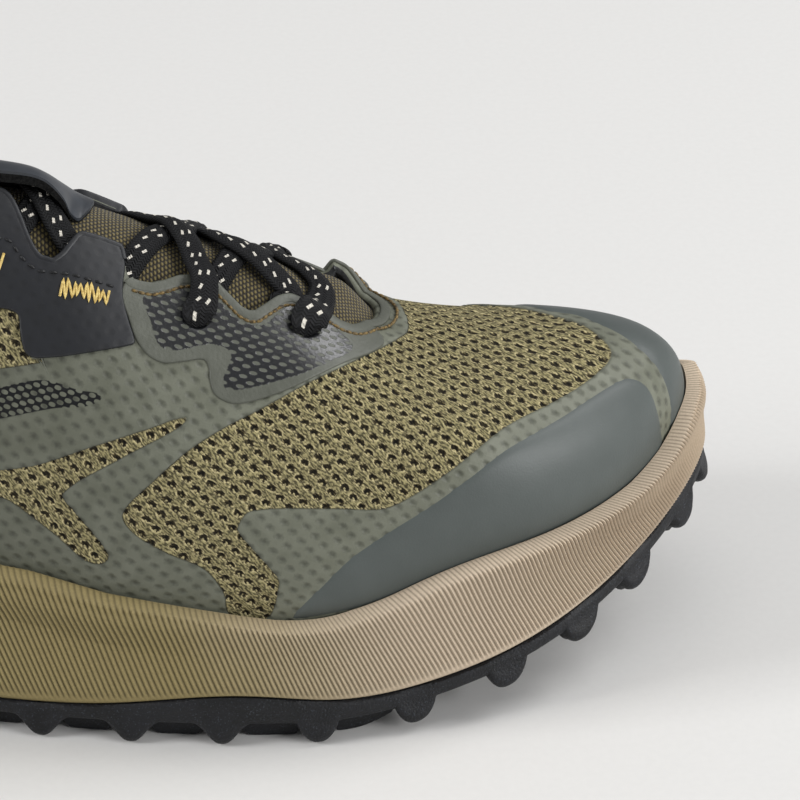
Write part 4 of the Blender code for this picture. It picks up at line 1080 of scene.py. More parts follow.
GUARD_OUTER = [(5.58, 0.01), (5.61, 0.037), (5.93, 0.121), (6.3, 0.192), (6.75, 0.229), (7.13, 0.258),
               (7.54, 0.321), (8.01, 0.412), (8.39, 0.446), (8.74, 0.454), (9.17, 0.433), (9.36, 0.395),
               (9.4, 0.34), (9.36, 0.26), (9.3, 0.179), (9.28, 0.1), (9.27, 0.0), (8.6, 0.0), (7.6, 0.0),
               (6.6, 0.0)]
GUARD_INNER = [(10.67, 0.625), (10.55, 0.562), (10.29, 0.521), (10.01, 0.458), (9.82, 0.396),
               (9.67, 0.308), (9.56, 0.212), (9.5, 0.1), (9.48, 0.0), (10.4, 0.0), (11.4, 0.0),
               (12.4, 0.0), (13.4, 0.0), (14.42, 0.01), (14.38, 0.045), (13.7, 0.19), (12.86, 0.27),
               (11.98, 0.42), (11.3, 0.56), (10.95, 0.62)]
GUARD_UNDER = -0.05
GUARD_THICKNESS = 0.45

# Guard film: smooth slate-green plastic with a soft satin shine, a fine grain and a few pale scuffs.
guard_film, tree, shader = new_finish("moulded_guard_film", 0.5, Specular_IOR_Level=0.5)
place = add_node(tree, "TexCoord", out="Object")
cloud = add_node(tree, "TexNoise", {"Vector": place, "Scale": 1 / (8 * MM), "Detail": 5.0})
tone = add_node(tree, "ValToRGB", [cloud], ((0.3, "#474d4b"), (0.7, "#4c5250")))
grain = add_node(tree, "TexNoise", {"Vector": place, "Scale": 1 / (0.5 * MM), "Detail": 2.0})
relief = add_node(tree, "Bump", {"Height": grain, "Distance": 0.04 * MM})
connect(shader, Base_Color=tone, Normal=relief)
for side, spots in (("outer", GUARD_OUTER), ("inner", GUARD_INNER)):
    guard = cut_sheet("toe_guard_film_" + side, closed_curve(spots), GUARD_UNDER, GUARD_THICKNESS, 2.6,
                      start=0.0)
    settle(guard, [guard_film], "toe_guard_" + side, slot="guard_film")

# Front lace panels
# A grey film on each side of the throat, cut in one piece with its lace tabs and pressed onto the knit.
# A darker, glossier patch with rows of small ovals left out is printed on it. The lace holes are punched.
PANEL_EDGE = [(4.69, 0.85), (4.73, 0.787), (4.76, 0.746), (4.85, 0.713), (4.97, 0.708), (5.27, 0.729),
              (5.53, 0.745), (5.57, 0.725), (5.53, 0.696), (5.53, 0.658), (5.71, 0.642), (6.0, 0.654),
              (6.6, 0.7), (7.49, 0.821), (8.36, 0.925)]
PATCH = [(4.91, 0.865), (4.93, 0.821), (5.01, 0.746), (5.73, 0.792), (5.96, 0.775), (5.71, 0.7),
         (5.73, 0.675), (6.74, 0.738), (7.35, 0.817), (7.78, 0.896), (7.66, 0.942), (7.51, 0.963),
         (7.07, 0.958), (6.55, 0.875), (6.23, 0.871), (5.9, 0.92), (5.57, 0.935), (5.2, 0.9)]
LIP_INSET = 0.006


def throat_edge(first, last, count=60, below=LIP_INSET):
    """Spots along the throat's edge between two places."""
    places = np.linspace(first, last, count)
    return [(place, share - below) for place, share in zip(places, throat_top(around_at(places)))]


panel_spots = PANEL_EDGE + throat_edge(8.6, 4.79, 50)
PANEL_UNDER = 0.04
PANEL_THICKNESS = 0.42

# Panel film: smooth grey-green and satin. The print is near black with a wet gloss, and the ovals stay grey.
OVAL_ROW = 2.0
PATCH_MARGIN = 3.0
OVAL_PITCH = 2.48
panel_film, tree, shader = new_finish("pressed_panel_film", 0.5, Specular_IOR_Level=0.5,
                                      Coat_Roughness=0.32)
pattern = add_node(tree, "UVMap")
place = add_node(tree, "TexCoord", out="Object")
cloud = add_node(tree, "TexNoise", {"Vector": place, "Scale": 1 / (4 * MM), "Detail": 5.0})
tone = add_node(tree, "ValToRGB", [cloud], ((0.3, "#4c4e45"), (0.7, "#55574e")))
patch_mark = add_node(tree, "Attribute", attribute_name="patch_edge", out="Fac")
ragged = add_node(tree, "TexNoise", {"Vector": place, "Scale": 1 / (0.9 * MM), "Detail": 2.0})
patch_mark = add_node(tree, "Math", [ragged, 0.8, patch_mark], operation="MULTIPLY_ADD")
on_patch = add_node(tree, "MapRange", [patch_mark, 0.3 + PATCH_MARGIN, 0.5 + PATCH_MARGIN])
ovals = net_spot(tree, pattern, OVAL_ROW, OVAL_PITCH, 0.95, 0.46)
ovals = add_node(tree, "VectorMath", [ovals], operation="LENGTH", out="Value")
ink = add_node(tree, "MapRange", [ovals, 0.85, 1.1])
inked = add_node(tree, "Math", [ink, on_patch], operation="MULTIPLY")
colour = add_node(tree, "Mix", {"Factor": inked, 6: tone, 7: linear("#101114")}, **BLEND)
hole_mark = add_node(tree, "Attribute", attribute_name="hole_edge", out="Fac")
# Painted shade: the film is near black inside the punched lace holes.
hole_shade = add_node(tree, "MapRange", [hole_mark, -0.1, -0.3])
colour = add_node(tree, "Mix", {"Factor": hole_shade, 6: colour, 7: linear("#070708")}, **BLEND)
gloss = add_node(tree, "MapRange", [inked, 0.0, 1.0, 0.5, 0.3])
wet = add_node(tree, "Math", [inked, 0.4], operation="MULTIPLY")
rough = add_node(tree, "Math", [inked, 0.5, ragged], operation="MULTIPLY_ADD")
relief = add_node(tree, "Bump", {"Height": rough, "Distance": 0.12 * MM})
connect(shader, Base_Color=colour, Roughness=gloss, Coat_Weight=wet, Normal=relief)
for side, turn in SIDES:
    patch = closed_curve(turn(PATCH))
    marks = [("patch_edge", lambda flat: edge_distance(flat, patch) + PATCH_MARGIN),
             ("hole_edge", hole_distance)]
    loop = closed_curve(turn(panel_spots))
    panel = cut_sheet("front_panel_film_" + side, loop, PANEL_UNDER, PANEL_THICKNESS, 0.5, 0.9, marks, True)
    settle(panel, [panel_film], "front_panel_" + side, slot="panel_film")

# Saddle panels
# A charcoal film behind the front panel on each side, cut in one piece with its two lace tabs. It is pressed
# onto the knit with heat and stitched along the throat.
SADDLE_EDGE = [(4.765, 0.93), (4.73, 0.88), (4.71, 0.84), (4.73, 0.787), (4.75, 0.738), (4.71, 0.725),
               (4.14, 0.658), (3.92, 0.646), (3.79, 0.65), (3.75, 0.667), (3.74, 0.717), (3.74, 0.762),
               (3.66, 0.785), (3.5, 0.81), (3.38, 0.86), (3.32, 0.92)]
saddle_spots = SADDLE_EDGE + throat_edge(3.32, 4.745, 60, 0.002)
SADDLE_THICKNESS = 0.6

# Saddle film: blue-black, satin, with the net of the knit just showing through, its sunken spots darkened
# with painted shade.
saddle_film, tree, shader = new_finish("pressed_saddle_film", 0.5, Specular_IOR_Level=0.5)
pattern = add_node(tree, "UVMap")
place = add_node(tree, "TexCoord", out="Object")
cloud = add_node(tree, "TexNoise", {"Vector": place, "Scale": 1 / (5 * MM), "Detail": 5.0})
tone = add_node(tree, "ValToRGB", [cloud], ((0.3, "#0f1115"), (0.7, "#14161b")))
reach = net_spot(tree, pattern, ROW_PITCH, HOLE_PITCH, 1.25, 1.1)
reach = add_node(tree, "VectorMath", [reach], operation="LENGTH", out="Value")
sunk = add_node(tree, "MapRange", [reach, 0.2, 1.0, 0.85, 1.08])
# Painted shade: the sunken middles of the net's spots are darker.
tone = add_node(tree, "Mix", {"Factor": 1.0, 6: tone, 7: sunk}, **TINT)
relief = add_node(tree, "Bump", {"Height": sunk, "Distance": 0.4 * MM, "Strength": 0.5})
connect(shader, Base_Color=tone, Normal=relief)
for side, turn in SIDES:
    saddle = cut_sheet("saddle_film_" + side, closed_curve(turn(saddle_spots)), PANEL_UNDER,
                       SADDLE_THICKNESS, 0.6, 1.0)
    settle(saddle, [saddle_film], "saddle_panel_" + side, slot="saddle_film")

# Throat binding
# A narrow strip of the panel's film folded over the scalloped edge of the throat and pressed flat. Behind the
# front panel the saddle's own charcoal film is folded over the edge instead.
LIP_WIDTH = 2.5
LIP_HEIGHT = 1.0


def capped(rings):
    """Rings of a tube with both ends closed in their middles."""
    ends = [np.broadcast_to(ring.mean(axis=0), ring.shape)[None] for ring in (rings[0], rings[-1])]
    return np.concatenate([ends[0], rings, ends[1]])


def sweep(name, path, facing, profile, widths=None, smooth_angle=60):
    """Closed band along a path in mm. profile pairs a sideways and a facing offset, in order around."""
    tangent = np.gradient(path, axis=0)
    tangent /= np.linalg.norm(tangent, axis=1, keepdims=True)
    facing = facing - tangent * (facing * tangent).sum(axis=1, keepdims=True)
    facing /= np.linalg.norm(facing, axis=1, keepdims=True)
    sideways = np.cross(facing, tangent)
    if widths is not None:
        sideways = sideways * widths[:, None]
    profile = np.array(list(profile) + [profile[0]], float)
    ring = path[:, None] + profile[None, :, 0, None] * sideways[:, None]
    ring = ring + profile[None, :, 1, None] * facing[:, None]
    run = run_along(path)
    run = np.concatenate([[run[0]], run, [run[-1]]])
    girth = run_along(profile)
    pattern = np.stack(np.meshgrid(run, girth, indexing="ij"), axis=-1)
    return lay_grid(name, capped(ring), pattern, smooth_angle=smooth_angle)


def rounded_band(width, height, count=16, square=0.55):
    """Profile of a flat band with rounded edges."""
    turns = np.linspace(0, 2 * math.pi, count, endpoint=False)
    return [(width / 2 * np.sign(math.cos(t)) * abs(math.cos(t)) ** square,
             height / 2 * np.sign(math.sin(t)) * abs(math.sin(t)) ** square) for t in turns]


lip_around = np.linspace(around_at(4.785), around_at(15.215), 460)
lip_path, lip_facing = on_upper(lip_around, throat_top(lip_around) - 0.012, 0.1)
lip = sweep("throat_binding", lip_path, lip_facing, rounded_band(LIP_WIDTH, LIP_HEIGHT))
settle(lip, [panel_film], slot="panel_film")
for side, first, last in (("outer", 3.0, 4.755), ("inner", 15.245, 17.0)):
    edge_around = np.linspace(around_at(first), around_at(last), 160)
    edge_path, edge_facing = on_upper(edge_around, throat_top(edge_around) - 0.004, -0.55)
    edge = sweep("saddle_edge_" + side, edge_path, edge_facing, rounded_band(1.5, 2.6))
    settle(edge, [saddle_film], slot="saddle_film")

# Stitching
# Gold chain stitch outside the binding, black lockstitch on the saddle and yellow bar tacks beside the tabs.
# All of it is polyester thread, sewn by machine through the film and the knit.
STITCH_SIDES = 6


def stitch_row(name, spots, length, pitch, width, lift):
    """Row of short stitches along spots of place and share, each one a small rounded dash."""
    spots = np.array(spots, float)
    at = np.linspace(0, len(spots) - 1, 600)
    places = np.interp(at, np.arange(len(spots)), spots[:, 0])
    shares = np.interp(at, np.arange(len(spots)), spots[:, 1])
    path, facing = on_upper(around_at(places), shares, lift)
    run = run_along(path)
    turns = np.arange(STITCH_SIDES) * 2 * math.pi / STITCH_SIDES
    steps = np.array([-0.5, -0.32, 0.0, 0.32, 0.5])
    swell = np.array([0.25, 0.85, 1.0, 0.85, 0.25])
    points, faces = [], []

    def read_at(where, values):
        return np.array([np.interp(where, run, values[:, axis]) for axis in range(3)])

    for middle in np.arange(pitch / 2, run[-1], pitch):
        base = len(points) * STITCH_SIDES
        for step, size in zip(steps, swell):
            where = np.clip(middle + step * length, 0, run[-1])
            spot, up = read_at(where, path), read_at(where, facing)
            side = np.cross(up, read_at(where + 0.1, path) - read_at(where - 0.1, path))
            side /= np.linalg.norm(side)
            dip = up * (size - 1) * width * 0.5
            circle = np.outer(np.cos(turns), side) + np.outer(np.sin(turns), up)
            points.append(spot + dip + size * width / 2 * circle)
        for row in range(len(steps) - 1):
            for i in range(STITCH_SIDES):
                j = (i + 1) % STITCH_SIDES
                low, high = base + row * STITCH_SIDES, base + (row + 1) * STITCH_SIDES
                faces.append((low + i, low + j, high + j, high + i))
        faces.append([base + i for i in reversed(range(STITCH_SIDES))])
        faces.append([base + (len(steps) - 1) * STITCH_SIDES + i for i in range(STITCH_SIDES)])
    piece = new_piece(name, np.concatenate(points), faces)
    close_up(piece, 60)
    return piece


# Polyester thread: twisted, with a silky gloss and a slight change of tone from stitch to stitch.
THREAD_TONES = (("gold", "#33291a", "#80693a"), ("black", "#08080a", "#17181b"),
                ("yellow", "#b49650", "#dcc47a"))
gold_thread, black_thread, yellow_thread = (
    mottled(name + "_polyester_thread", 0.5, 0.7, 2.0, ((0.35, dark), (0.65, light)), 0.1,
            Specular_IOR_Level=0.4)
    for name, dark, light in THREAD_TONES)
CHAIN_BELOW = 0.031
chain = stitch_row("chain_stitch", throat_edge(4.8, 15.2, 400, CHAIN_BELOW), 1.9, 1.6, 0.78, 0.5)
settle(chain, [gold_thread], slot="panel_film")
SADDLE_STITCH = [(3.3, 0.965), (3.6, 0.972), (3.74, 0.968), (3.78, 0.95), (3.82, 0.908), (3.86, 0.882),
                 (3.92, 0.86), (4.0, 0.855), (4.07, 0.853), (4.38, 0.85), (4.69, 0.858)]
TACKS = (((4.05, 0.815), (4.56, 0.82)), ((3.3, 0.905), (3.72, 0.905)))
TACK_STROKES = 9
TACK_HEIGHT = 3.2
THREAD = [(0.3 * math.cos(t), 0.3 * math.sin(t)) for t in np.linspace(0, 2 * math.pi, 6, endpoint=False)]
for side, turn in SIDES:
    seam = stitch_row("saddle_stitch_" + side, turn(SADDLE_STITCH), 2.0, 2.6, 0.7, 0.75)
    settle(seam, [black_thread], slot="saddle_film")
    for number, ends in enumerate(TACKS):
        (first, first_share), (last, last_share) = turn(ends)
        stroke = np.repeat(np.linspace(0, 1, TACK_STROKES + 1), 2)[1:-1]
        lean = np.where(np.arange(len(stroke)) % 4 < 2, 0.012, -0.012)
        places = first + (last - first) * (stroke + lean)
        shares = first_share + (last_share - first_share) * stroke
        high = np.arange(len(stroke)) % 2
        wobble = 0.12 * np.sin(np.arange(len(stroke)) * 2.4)
        shares = shares + (high - 0.5 + wobble) * TACK_HEIGHT / 78
        at = np.linspace(0, len(stroke) - 1, (len(stroke) - 1) * 5 + 1)
        places = np.interp(at, np.arange(len(stroke)), places)
        shares = np.interp(at, np.arange(len(stroke)), shares)
        path, facing = on_upper(around_at(places), shares, 0.85 - 0.35 * np.abs(np.mod(at, 1) - 0.5))
        tack = sweep("bar_tack_" + side + "_" + str(number), path, facing, THREAD)
        settle(tack, [yellow_thread], slot="saddle_film")

# Tongue
# A strip of basket-woven cloth over thin foam, arched across the foot. It is sewn in ahead of the throat and
# lies loose under the lace.
Tongue = namedtuple("Tongue", "x crown half_width curve thickness")
TONGUE = (Tongue(219, 72, 8, 0.04, 1.6), Tongue(208, 76.4, 12, 0.04, 2.0),
          Tongue(200, 81.8, 15, 0.036, 2.6), Tongue(186, 91.2, 19, 0.034, 3.2),
          Tongue(171, 97.2, 21, 0.033, 3.8), Tongue(156, 102.4, 22, 0.035, 4.2),
          Tongue(132, 112, 22, 0.042, 4.6), Tongue(120, 116.4, 22, 0.05, 5.0),
          Tongue(108, 121.5, 21, 0.066, 5.0), Tongue(98, 127.5, 18, 0.086, 5.0),
          Tongue(91, 133, 16, 0.075, 4.4), Tongue(88, 135.5, 11, 0.06, 3.2))


def tongue_value(column, x):
    rows = TONGUE[::-1]
    heights = np.array([getattr(row, column) for row in rows], float)
    return curve_along(np.array([row.x for row in rows], float), heights, x)


# Between the lace rows the foam swells the cloth up to the level of the throat's edges.
SWELL_X = (88.0, 108.0, 122.0, 134.0, 150.0, 186.0, 200.0, 208.0, 219.0)
SWELL = (0.0, 0.0, 1.2, 3.0, 3.2, 3.3, 4.2, 3.4, 2.0)


def tongue_top(x, y):
    raised = np.interp(x, SWELL_X, SWELL)
    return tongue_value("crown", x) + raised - tongue_value("curve", x) * y**2


# At the front it fills the room under the raised inner edge of the throat.
FILL_HEIGHT = 3.2
FILL_X = 199.0
FILL_HALF_LENGTH = 7.0
TONGUE_SECTIONS = 150
TONGUE_ACROSS = 48
TONGUE_EDGE_THINNING = 0.65
tongue_rings = []
across = np.linspace(-1, 1, TONGUE_ACROSS)
for x in np.linspace(219, 88, TONGUE_SECTIONS):
    station = np.full_like(across, x)
    y = across * tongue_value("half_width", station)
    filling = FILL_HEIGHT * np.exp(-(((station - FILL_X) / FILL_HALF_LENGTH) ** 2)) * smooth_step(y, -2, 9)
    top = np.column_stack([station, y, tongue_top(station, y) + filling])
    depth = tongue_value("thickness", station) * (1 - TONGUE_EDGE_THINNING * across**4)
    under = top - np.column_stack([np.zeros_like(y), np.zeros_like(y), depth])
    tongue_rings.append(np.concatenate([top, under[::-1], top[:1]]))
tongue_rings = np.stack(tongue_rings)
along = run_along(tongue_rings[:, TONGUE_ACROSS // 2])
tongue_map = np.stack([np.broadcast_to(along[:, None], tongue_rings.shape[:2]), tongue_rings[:, :, 1]],
                      axis=-1)
tongue_map = np.concatenate([tongue_map[:1], tongue_map, tongue_map[-1:]])
tongue = lay_grid("tongue_pad", capped(tongue_rings), tongue_map)

# Basket weave: olive threads in short raised blocks, set like bricks, with the gaps between them painted dark
# as shade.
WEAVE_PITCH = 0.88
tongue_cloth, tree, shader = new_finish("basket_woven_cloth", 0.85, Sheen_Weight=0.15)
pattern = add_node(tree, "UVMap")
place = add_node(tree, "TexCoord", out="Object")
weave = net_spot(tree, pattern, WEAVE_PITCH, WEAVE_PITCH * 1.25, 0.48, 0.58)
weave = add_node(tree, "VectorMath", [weave], operation="LENGTH", out="Value")
fuzz = add_node(tree, "TexNoise", {"Vector": place, "Scale": 1 / (0.5 * MM), "Detail": 2.0})
ragged = add_node(tree, "Math", [fuzz, 0.5, weave], operation="MULTIPLY_ADD")
# Painted shade: the gaps between the raised blocks are dark.
tone = add_node(tree, "ValToRGB", [ragged], ((0.5, "#75683f"), (1.0, "#231d11"), (0.86, "#5c5231")))
relief = add_node(tree, "Bump", {"Height": ragged, "Distance": -0.3 * MM})
connect(shader, Base_Color=tone, Normal=relief)
settle(tongue, [tongue_cloth], "tongue", slot="tongue_cloth")

# Lace keeper
# A strap of charcoal film backed with black felt, moulded into a low arch. It is sewn to the tongue at both
# ends, and the lace runs under it.
Keeper = namedtuple("Keeper", "near_x near_y near_rise far_x far_y far_rise")
KEEPER = (Keeper(101, -4.0, 0.2, 101, 5.0, 0.2), Keeper(103, -5.0, 2.5, 103, 6.0, 1.4),
          Keeper(107, -6.0, 6.4, 107, 6.5, 3.0), Keeper(114, -6.0, 8.6, 114, 6.5, 4.2),
          Keeper(123.5, -6.0, 9.4, 123, 6.5, 4.5), Keeper(130.9, -6.0, 9.5, 129, 6.5, 4.0),
          Keeper(134.7, -6.0, 7.9, 134.2, 6.5, 2.6), Keeper(137.3, -6.0, 5.2, 137.4, 6.5, 2.0),
          Keeper(138.6, -6.0, 2.2, 140.2, 6.5, 1.3), Keeper(140.2, -5.6, 0.9, 142.2, 6.3, 1.0),
          Keeper(141.6, -3.6, 0.8, 143.2, 5.2, 0.9), Keeper(142.8, -0.8, 0.7, 143.6, 3.2, 0.8))
KEEPER_FILM = 0.7
KEEPER_FELT = 2.2
table = np.array(KEEPER, float)
at = np.arange(len(table))
fine = np.linspace(0, len(table) - 1, 90)
near_x, near_y, near_rise, far_x, far_y, far_rise = (curve_along(at, table[:, i], fine) for i in range(6))
across = np.linspace(0, 1, 17)[None, :]
keeper_x = near_x[:, None] + (far_x - near_x)[:, None] * across
keeper_y = near_y[:, None] + (far_y - near_y)[:, None] * across
rise = near_rise[:, None] + (far_rise - near_rise)[:, None] * across
face = np.stack([keeper_x, keeper_y, tongue_top(keeper_x, keeper_y) + rise + GAP], axis=-1)
felt = np.minimum(KEEPER_FELT, rise * 0.5)[..., None] * np.array([0.0, 0.0, -1.0])
film = np.array([0.0, 0.0, KEEPER_FILM])
# Strap film: slate grey and satin, paler than the saddle, with a fine grain.
film_tones = ((0.3, "#26292e"), (0.7, "#31353b"))
strap_film = mottled("pale_strap_film", 0.42, 4, 5.0, film_tones, 0.1, Specular_IOR_Level=0.5)
# Felt: black, dull and fuzzy.
felt_tones = ((0.35, "#040404"), (0.7, "#1c1c1b"))
felt_cloth = mottled("pressed_black_felt", 0.98, 0.6, 4.0, felt_tones, 0.6, Specular_IOR_Level=0.2)
for name, under, top in (("lace_keeper_felt", face + felt, face), ("lace_keeper_strap", face, face + film)):
    rings = np.concatenate([under, top[:, ::-1], under[:, :1]], axis=1)
    strap = lay_grid(name, capped(rings))
    if name == "lace_keeper_felt":
        settle(strap, [felt_cloth], slot="saddle_film")
    else:
        settle(strap, [strap_film], "lace_keeper", slot="saddle_film")

# Lace
# One flat braided polyester cord, threaded through the tabs from row to row and crossed over the tongue.
# Both ends stop inside at the top eyelets.
LACE_WIDTH = 6.2
LACE_THICKNESS = 2.2
LACE_RIDGES = 10
LACE_RIDGE_HEIGHT = 0.09
LACE_STEPS = 160


def smooth_path(points, steps):
    """Smooth curve through a few points: Catmull-Rom, ends repeated."""
    points = np.asarray(points, float)
    padded = np.concatenate([[2 * points[0] - points[1]], points, [2 * points[-1] - points[-2]]])
    at = np.linspace(0, len(points) - 1, steps)
    i = np.minimum(at.astype(int), len(points) - 2)
    f = (at - i)[:, None]
    a, b, c, d = padded[i], padded[i + 1], padded[i + 2], padded[i + 3]
    return 0.5 * (2 * b + (c - a) * f + (2 * a - 5 * b + 4 * c - d) * f**2 + (3 * b - a - 3 * c + d) * f**3)


Tuck = namedtuple("Tuck", "place share lift width", defaults=(1.0,))
Lie = namedtuple("Lie", "x y height width", defaults=(1.0,))


def lace_strand(name, spots):
    """Lace through spots: a Tuck lies on or under the upper, a Lie over the tongue at a height above it."""
    run = []
    for spot in spots:
        if isinstance(spot, Tuck):
            point, facing = on_upper(np.array([around_at(spot.place)]), np.array([spot.share]), spot.lift)
            run.append((point[0], facing[0], spot.width))
        else:
            x, y = np.array([spot.x]), np.array([spot.y])
            point = np.array([spot.x, spot.y, tongue_top(x, y)[0] + spot.height])
            run.append((point, np.array([0.4, spot.y * 0.06, 1.0]), spot.width))
    path = smooth_path([point for point, _, _ in run], LACE_STEPS)
    facing = smooth_path([normal for _, normal, _ in run], LACE_STEPS)
    widths = smooth_path([[width] for _, _, width in run], LACE_STEPS)[:, 0]
    turns = np.linspace(0, 2 * math.pi, 40, endpoint=False)
    ridge = 1 + LACE_RIDGE_HEIGHT * np.cos(turns * LACE_RIDGES)
    profile = [(LACE_WIDTH / 2 * math.cos(t), LACE_THICKNESS / 2 * math.sin(t) * r)
               for t, r in zip(turns, ridge)]
    return sweep(name, path, facing, profile, widths)


# Braided cord: black, with a fine herringbone of strands and white flecks in two broken rows.
FLECK_LENGTH = 1.3
FLECK_WIDTH = 0.65
FLECK_SLANT = 24.0
Fleck = namedtuple("Fleck", "girth pitch start")
FLECK_ROWS = (Fleck(2.5, 3.2, 0.0), Fleck(4.5, 6.4, 1.6))
BRAID_PITCH = 0.75
lace_cord, tree, shader = new_finish("flat_braided_cord", 0.7, Specular_IOR_Level=0.3)
pattern = add_node(tree, "UVMap")
run = add_node(tree, "SeparateXYZ", [pattern])
girth = add_node(tree, "SeparateXYZ", [pattern], out="Y")
fold = add_node(tree, "Math", [girth, 0.9], operation="PINGPONG")
slant = add_node(tree, "Math", [fold, 0.8, run], operation="MULTIPLY_ADD")
turned = add_node(tree, "Math", [slant, 2 * math.pi / BRAID_PITCH], operation="MULTIPLY")
braid = add_node(tree, "Math", [turned], operation="SINE")
raised = add_node(tree, "MapRange", [braid, -1.0])
# Painted shade: the valleys between the braid's strands are darker than its crests.
tone = add_node(tree, "ValToRGB", [raised], ((0.0, "#020203"), (1.0, "#101114")))
for row in FLECK_ROWS:
    shift = add_node(tree, "Math", [run, row.start], operation="ADD")
    step = add_node(tree, "Math", [shift, row.pitch], operation="FLOORED_MODULO")
    ahead = add_node(tree, "Math", [step, row.pitch / 2], operation="SUBTRACT")
    aside = add_node(tree, "Math", [girth, row.girth], operation="SUBTRACT")
    spot = add_node(tree, "CombineXYZ", [ahead, aside])
    spot = add_node(tree, "Mapping",
                    {"Vector": spot, "Rotation": (0, 0, math.radians(FLECK_SLANT)),
                     "Scale": (FLECK_LENGTH / 2, FLECK_WIDTH / 2, 1)}, vector_type="TEXTURE")
    spot = add_node(tree, "VectorMath", [spot], operation="ABSOLUTE")
    ends = add_node(tree, "SeparateXYZ", [spot])
    flanks = add_node(tree, "SeparateXYZ", [spot], out="Y")
    size = add_node(tree, "Math", [ends, flanks], operation="MAXIMUM")
    inside = add_node(tree, "MapRange", [size, 1.05, 0.85])
    tone = add_node(tree, "Mix", {"Factor": inside, 6: tone, 7: linear("#d9d4c8")}, **BLEND)
relief = add_node(tree, "Bump", {"Height": braid, "Distance": 0.12 * MM})
connect(shader, Base_Color=tone, Normal=relief)


def far_side(spots):
    return [Tuck(LAST_PLACE - spot.place, *spot[1:]) for spot in reversed(spots)]


# Runs of spots from inside the shoe to the throat's edge: out of a hole, or out from under a tab.
hole_front = [Tuck(7.2, 0.888, -2.6, 0.75), Tuck(7.2, 0.9, 0.8, 1.1), Tuck(7.22, 0.916, 2.2, 1.4),
              Tuck(7.32, 0.955, 2.6, 1.35)]
hole_front_far = [Tuck(6.85, 0.888, -2.6, 0.75), Tuck(6.85, 0.9, 0.8), Tuck(6.85, 0.92, 1.5, 1.1),
                  Tuck(6.8, 0.96, 1.2)]
hole_rear = [Tuck(5.6, 0.834, -2.6, 0.75), Tuck(5.6, 0.848, 0.8, 1.05), Tuck(5.61, 0.864, 2.0, 1.25),
             Tuck(5.7, 0.9, 2.5, 1.1), Tuck(5.74, 0.955, 2.7)]
hole_rear_far = [Tuck(5.6, 0.834, -2.6, 0.75), Tuck(5.6, 0.848, 0.8), Tuck(5.6, 0.87, 1.6, 1.1),
                 Tuck(5.6, 0.96, 1.6)]
notch_front_fore = [Tuck(7.12, 0.9, -3.6), Tuck(7.04, 0.94, -3.0), Tuck(6.96, 0.962, -1.7)]
notch_front_aft = [Tuck(5.68, 0.9, -3.6), Tuck(5.81, 0.93, -3.0), Tuck(5.92, 0.95, -1.7)]
notch_rear_aft = [Tuck(4.45, 0.9, -3.8), Tuck(4.62, 0.91, -3.2), Tuck(4.74, 0.92, -1.9)]
saddle_fore = [Tuck(4.5, 0.9, -3.8), Tuck(4.4, 0.92, -3.4), Tuck(4.3, 0.94, -2.4)]
saddle_aft = [Tuck(3.45, 0.92, -3.8), Tuck(3.65, 0.95, -3.4), Tuck(3.77, 0.97, -2.4)]
Strand = namedtuple("Strand", "name node start over end")
STRANDS = (
    Strand("lace_bar_row", "lace_bar_front", hole_front,
           [Lie(193.8, -8.0, 2.4, 1.22), Lie(194.4, -2.0, 1.9), Lie(191.0, 3.0, 1.6), Lie(185.5, 7.5, 1.2)],
           hole_front_far),
    Strand("lace_front_under", "lace_crossing_front", notch_front_aft,
           [Lie(171.0, -10.0, 1.2), Lie(172.9, -6.4, 1.3), Lie(175.4, -1.2, 1.2), Lie(180.0, 5.0, 1.2)],
           notch_front_fore),
    Strand("lace_front_over", None, notch_front_fore,
           [Lie(187.2, -8.0, 1.4), Lie(184.2, -5.7, 2.2), Lie(180.3, -2.9, 2.8), Lie(176.4, -0.6, 3.0),
            Lie(172.5, 2.0, 2.4), Lie(169.2, 6.0, 1.4)], notch_front_aft),
    Strand("lace_middle_under", "lace_crossing_middle", notch_rear_aft,
           [Lie(150.6, -13.0, 1.2), Lie(153.5, -8.8, 1.3), Lie(156.9, -3.7, 1.3), Lie(160.6, 1.0, 1.2),
            Lie(164.0, 6.0, 1.2)], hole_rear_far),
    Strand("lace_middle_over", None, hole_rear,
           [Lie(166.2, -8.1, 2.5), Lie(164.1, -3.1, 2.9), Lie(160.9, 1.8, 3.0), Lie(156.4, 5.6, 1.3),
            Lie(152.0, 9.5, 0.5)], notch_rear_aft),
    Strand("lace_rear_under", "lace_crossing_rear", saddle_aft,
           [Lie(126.6, -10.0, 1.2), Lie(129.0, -7.0, 1.3), Lie(131.5, -3.4, 1.3), Lie(135.5, 4.0, 1.2)],
           saddle_fore),
    Strand("lace_rear_over", None, saddle_fore,
           [Lie(138.1, -11.0, 1.3), Lie(135.3, -8.0, 1.9), Lie(132.4, -3.6, 2.9), Lie(129.0, 2.5, 2.4),
            Lie(126.6, 8.0, 1.4)], saddle_aft),
)
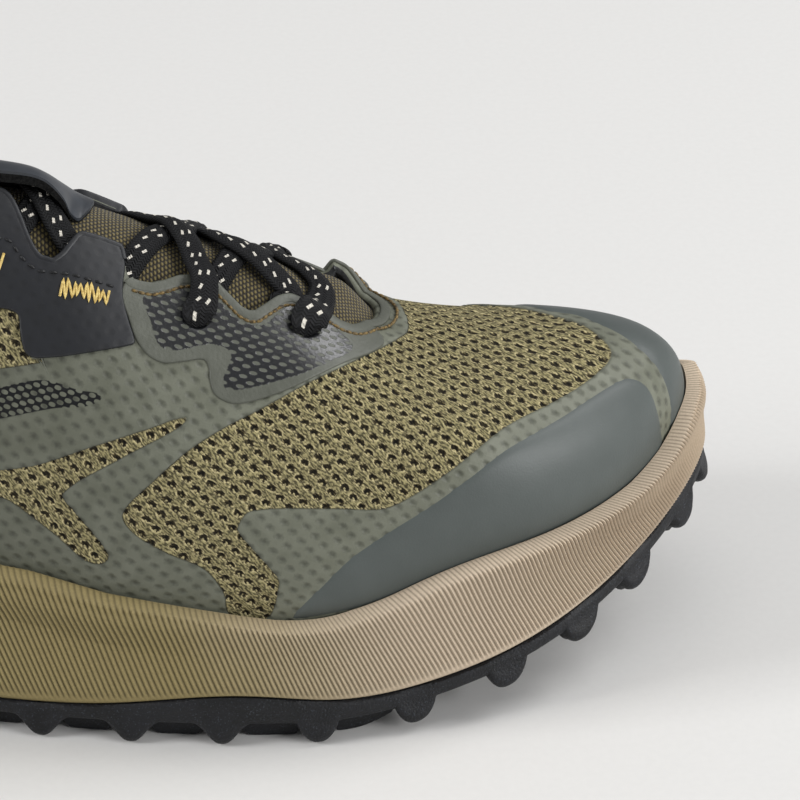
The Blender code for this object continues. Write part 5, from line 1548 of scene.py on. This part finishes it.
for strand in STRANDS:
    cord = lace_strand(strand.name, strand.start + strand.over + far_side(strand.end))
    settle(cord, [lace_cord], *([strand.node] if strand.node else []), slot="lace_cord")

# Studio
# A pale seamless paper floor under four soft lights: from the left, the right and above, and low in front.
# Weak light comes from all round.
bpy.ops.object.select_all(action="DESELECT")
bpy.ops.mesh.primitive_plane_add(size=6)
floor = bpy.context.object
floor.name = "studio_floor"
paper, tree, shader = new_finish("matt_paper_backdrop", 0.9, Specular_IOR_Level=0.2)
place = add_node(tree, "TexCoord", out="Object")
fibre = add_node(tree, "TexNoise", {"Vector": place, "Scale": 1 / (2 * MM), "Detail": 2.0})
tone = add_node(tree, "ValToRGB", [fibre], ((0.3, "#d4d3d1"), (0.7, "#d6d5d3")))
connect(shader, Base_Color=tone)
floor.data.materials.append(paper)
TARGET = np.array([69.97, 8.46, 54.54]) * MM
CAMERA = np.array([29.59, -761.94, 518.07]) * MM
bpy.ops.object.camera_add(location=CAMERA)
camera = bpy.context.object
camera.data.lens = 172.125
camera.data.sensor_width = 36
camera.rotation_euler = (Vector(TARGET) - Vector(CAMERA)).to_track_quat("-Z", "Y").to_euler()
bpy.context.scene.camera = camera
Lamp = namedtuple("Lamp", "name x y z size watts")
LAMPS = (
    Lamp("left_softbox", -2000, -380, 1120, 700, 30.0), Lamp("right_softbox", 1500, 460, 1700, 1000, 23.0),
    Lamp("top_softbox", 200, 200, 2400, 1800, 9.0), Lamp("front_softbox", 2000, -1200, 900, 1000, 41.0),
)
for lamp in LAMPS:
    where = np.array([lamp.x, lamp.y, lamp.z]) * MM
    bpy.ops.object.light_add(type="AREA", location=where)
    light = bpy.context.object
    light.name = lamp.name
    light.data.size = lamp.size * MM
    light.data.energy = lamp.watts
    light.rotation_euler = (Vector((0, 0, 0.05)) - Vector(where)).to_track_quat("-Z", "Y").to_euler()
world = bpy.data.worlds.new("studio_air")
world.use_nodes = True
world.node_tree.nodes["Background"].inputs["Color"].default_value = linear("#f4f5f7")
world.node_tree.nodes["Background"].inputs["Strength"].default_value = 0.33
bpy.context.scene.world = world
bpy.context.scene.view_settings.view_transform = "Standard"
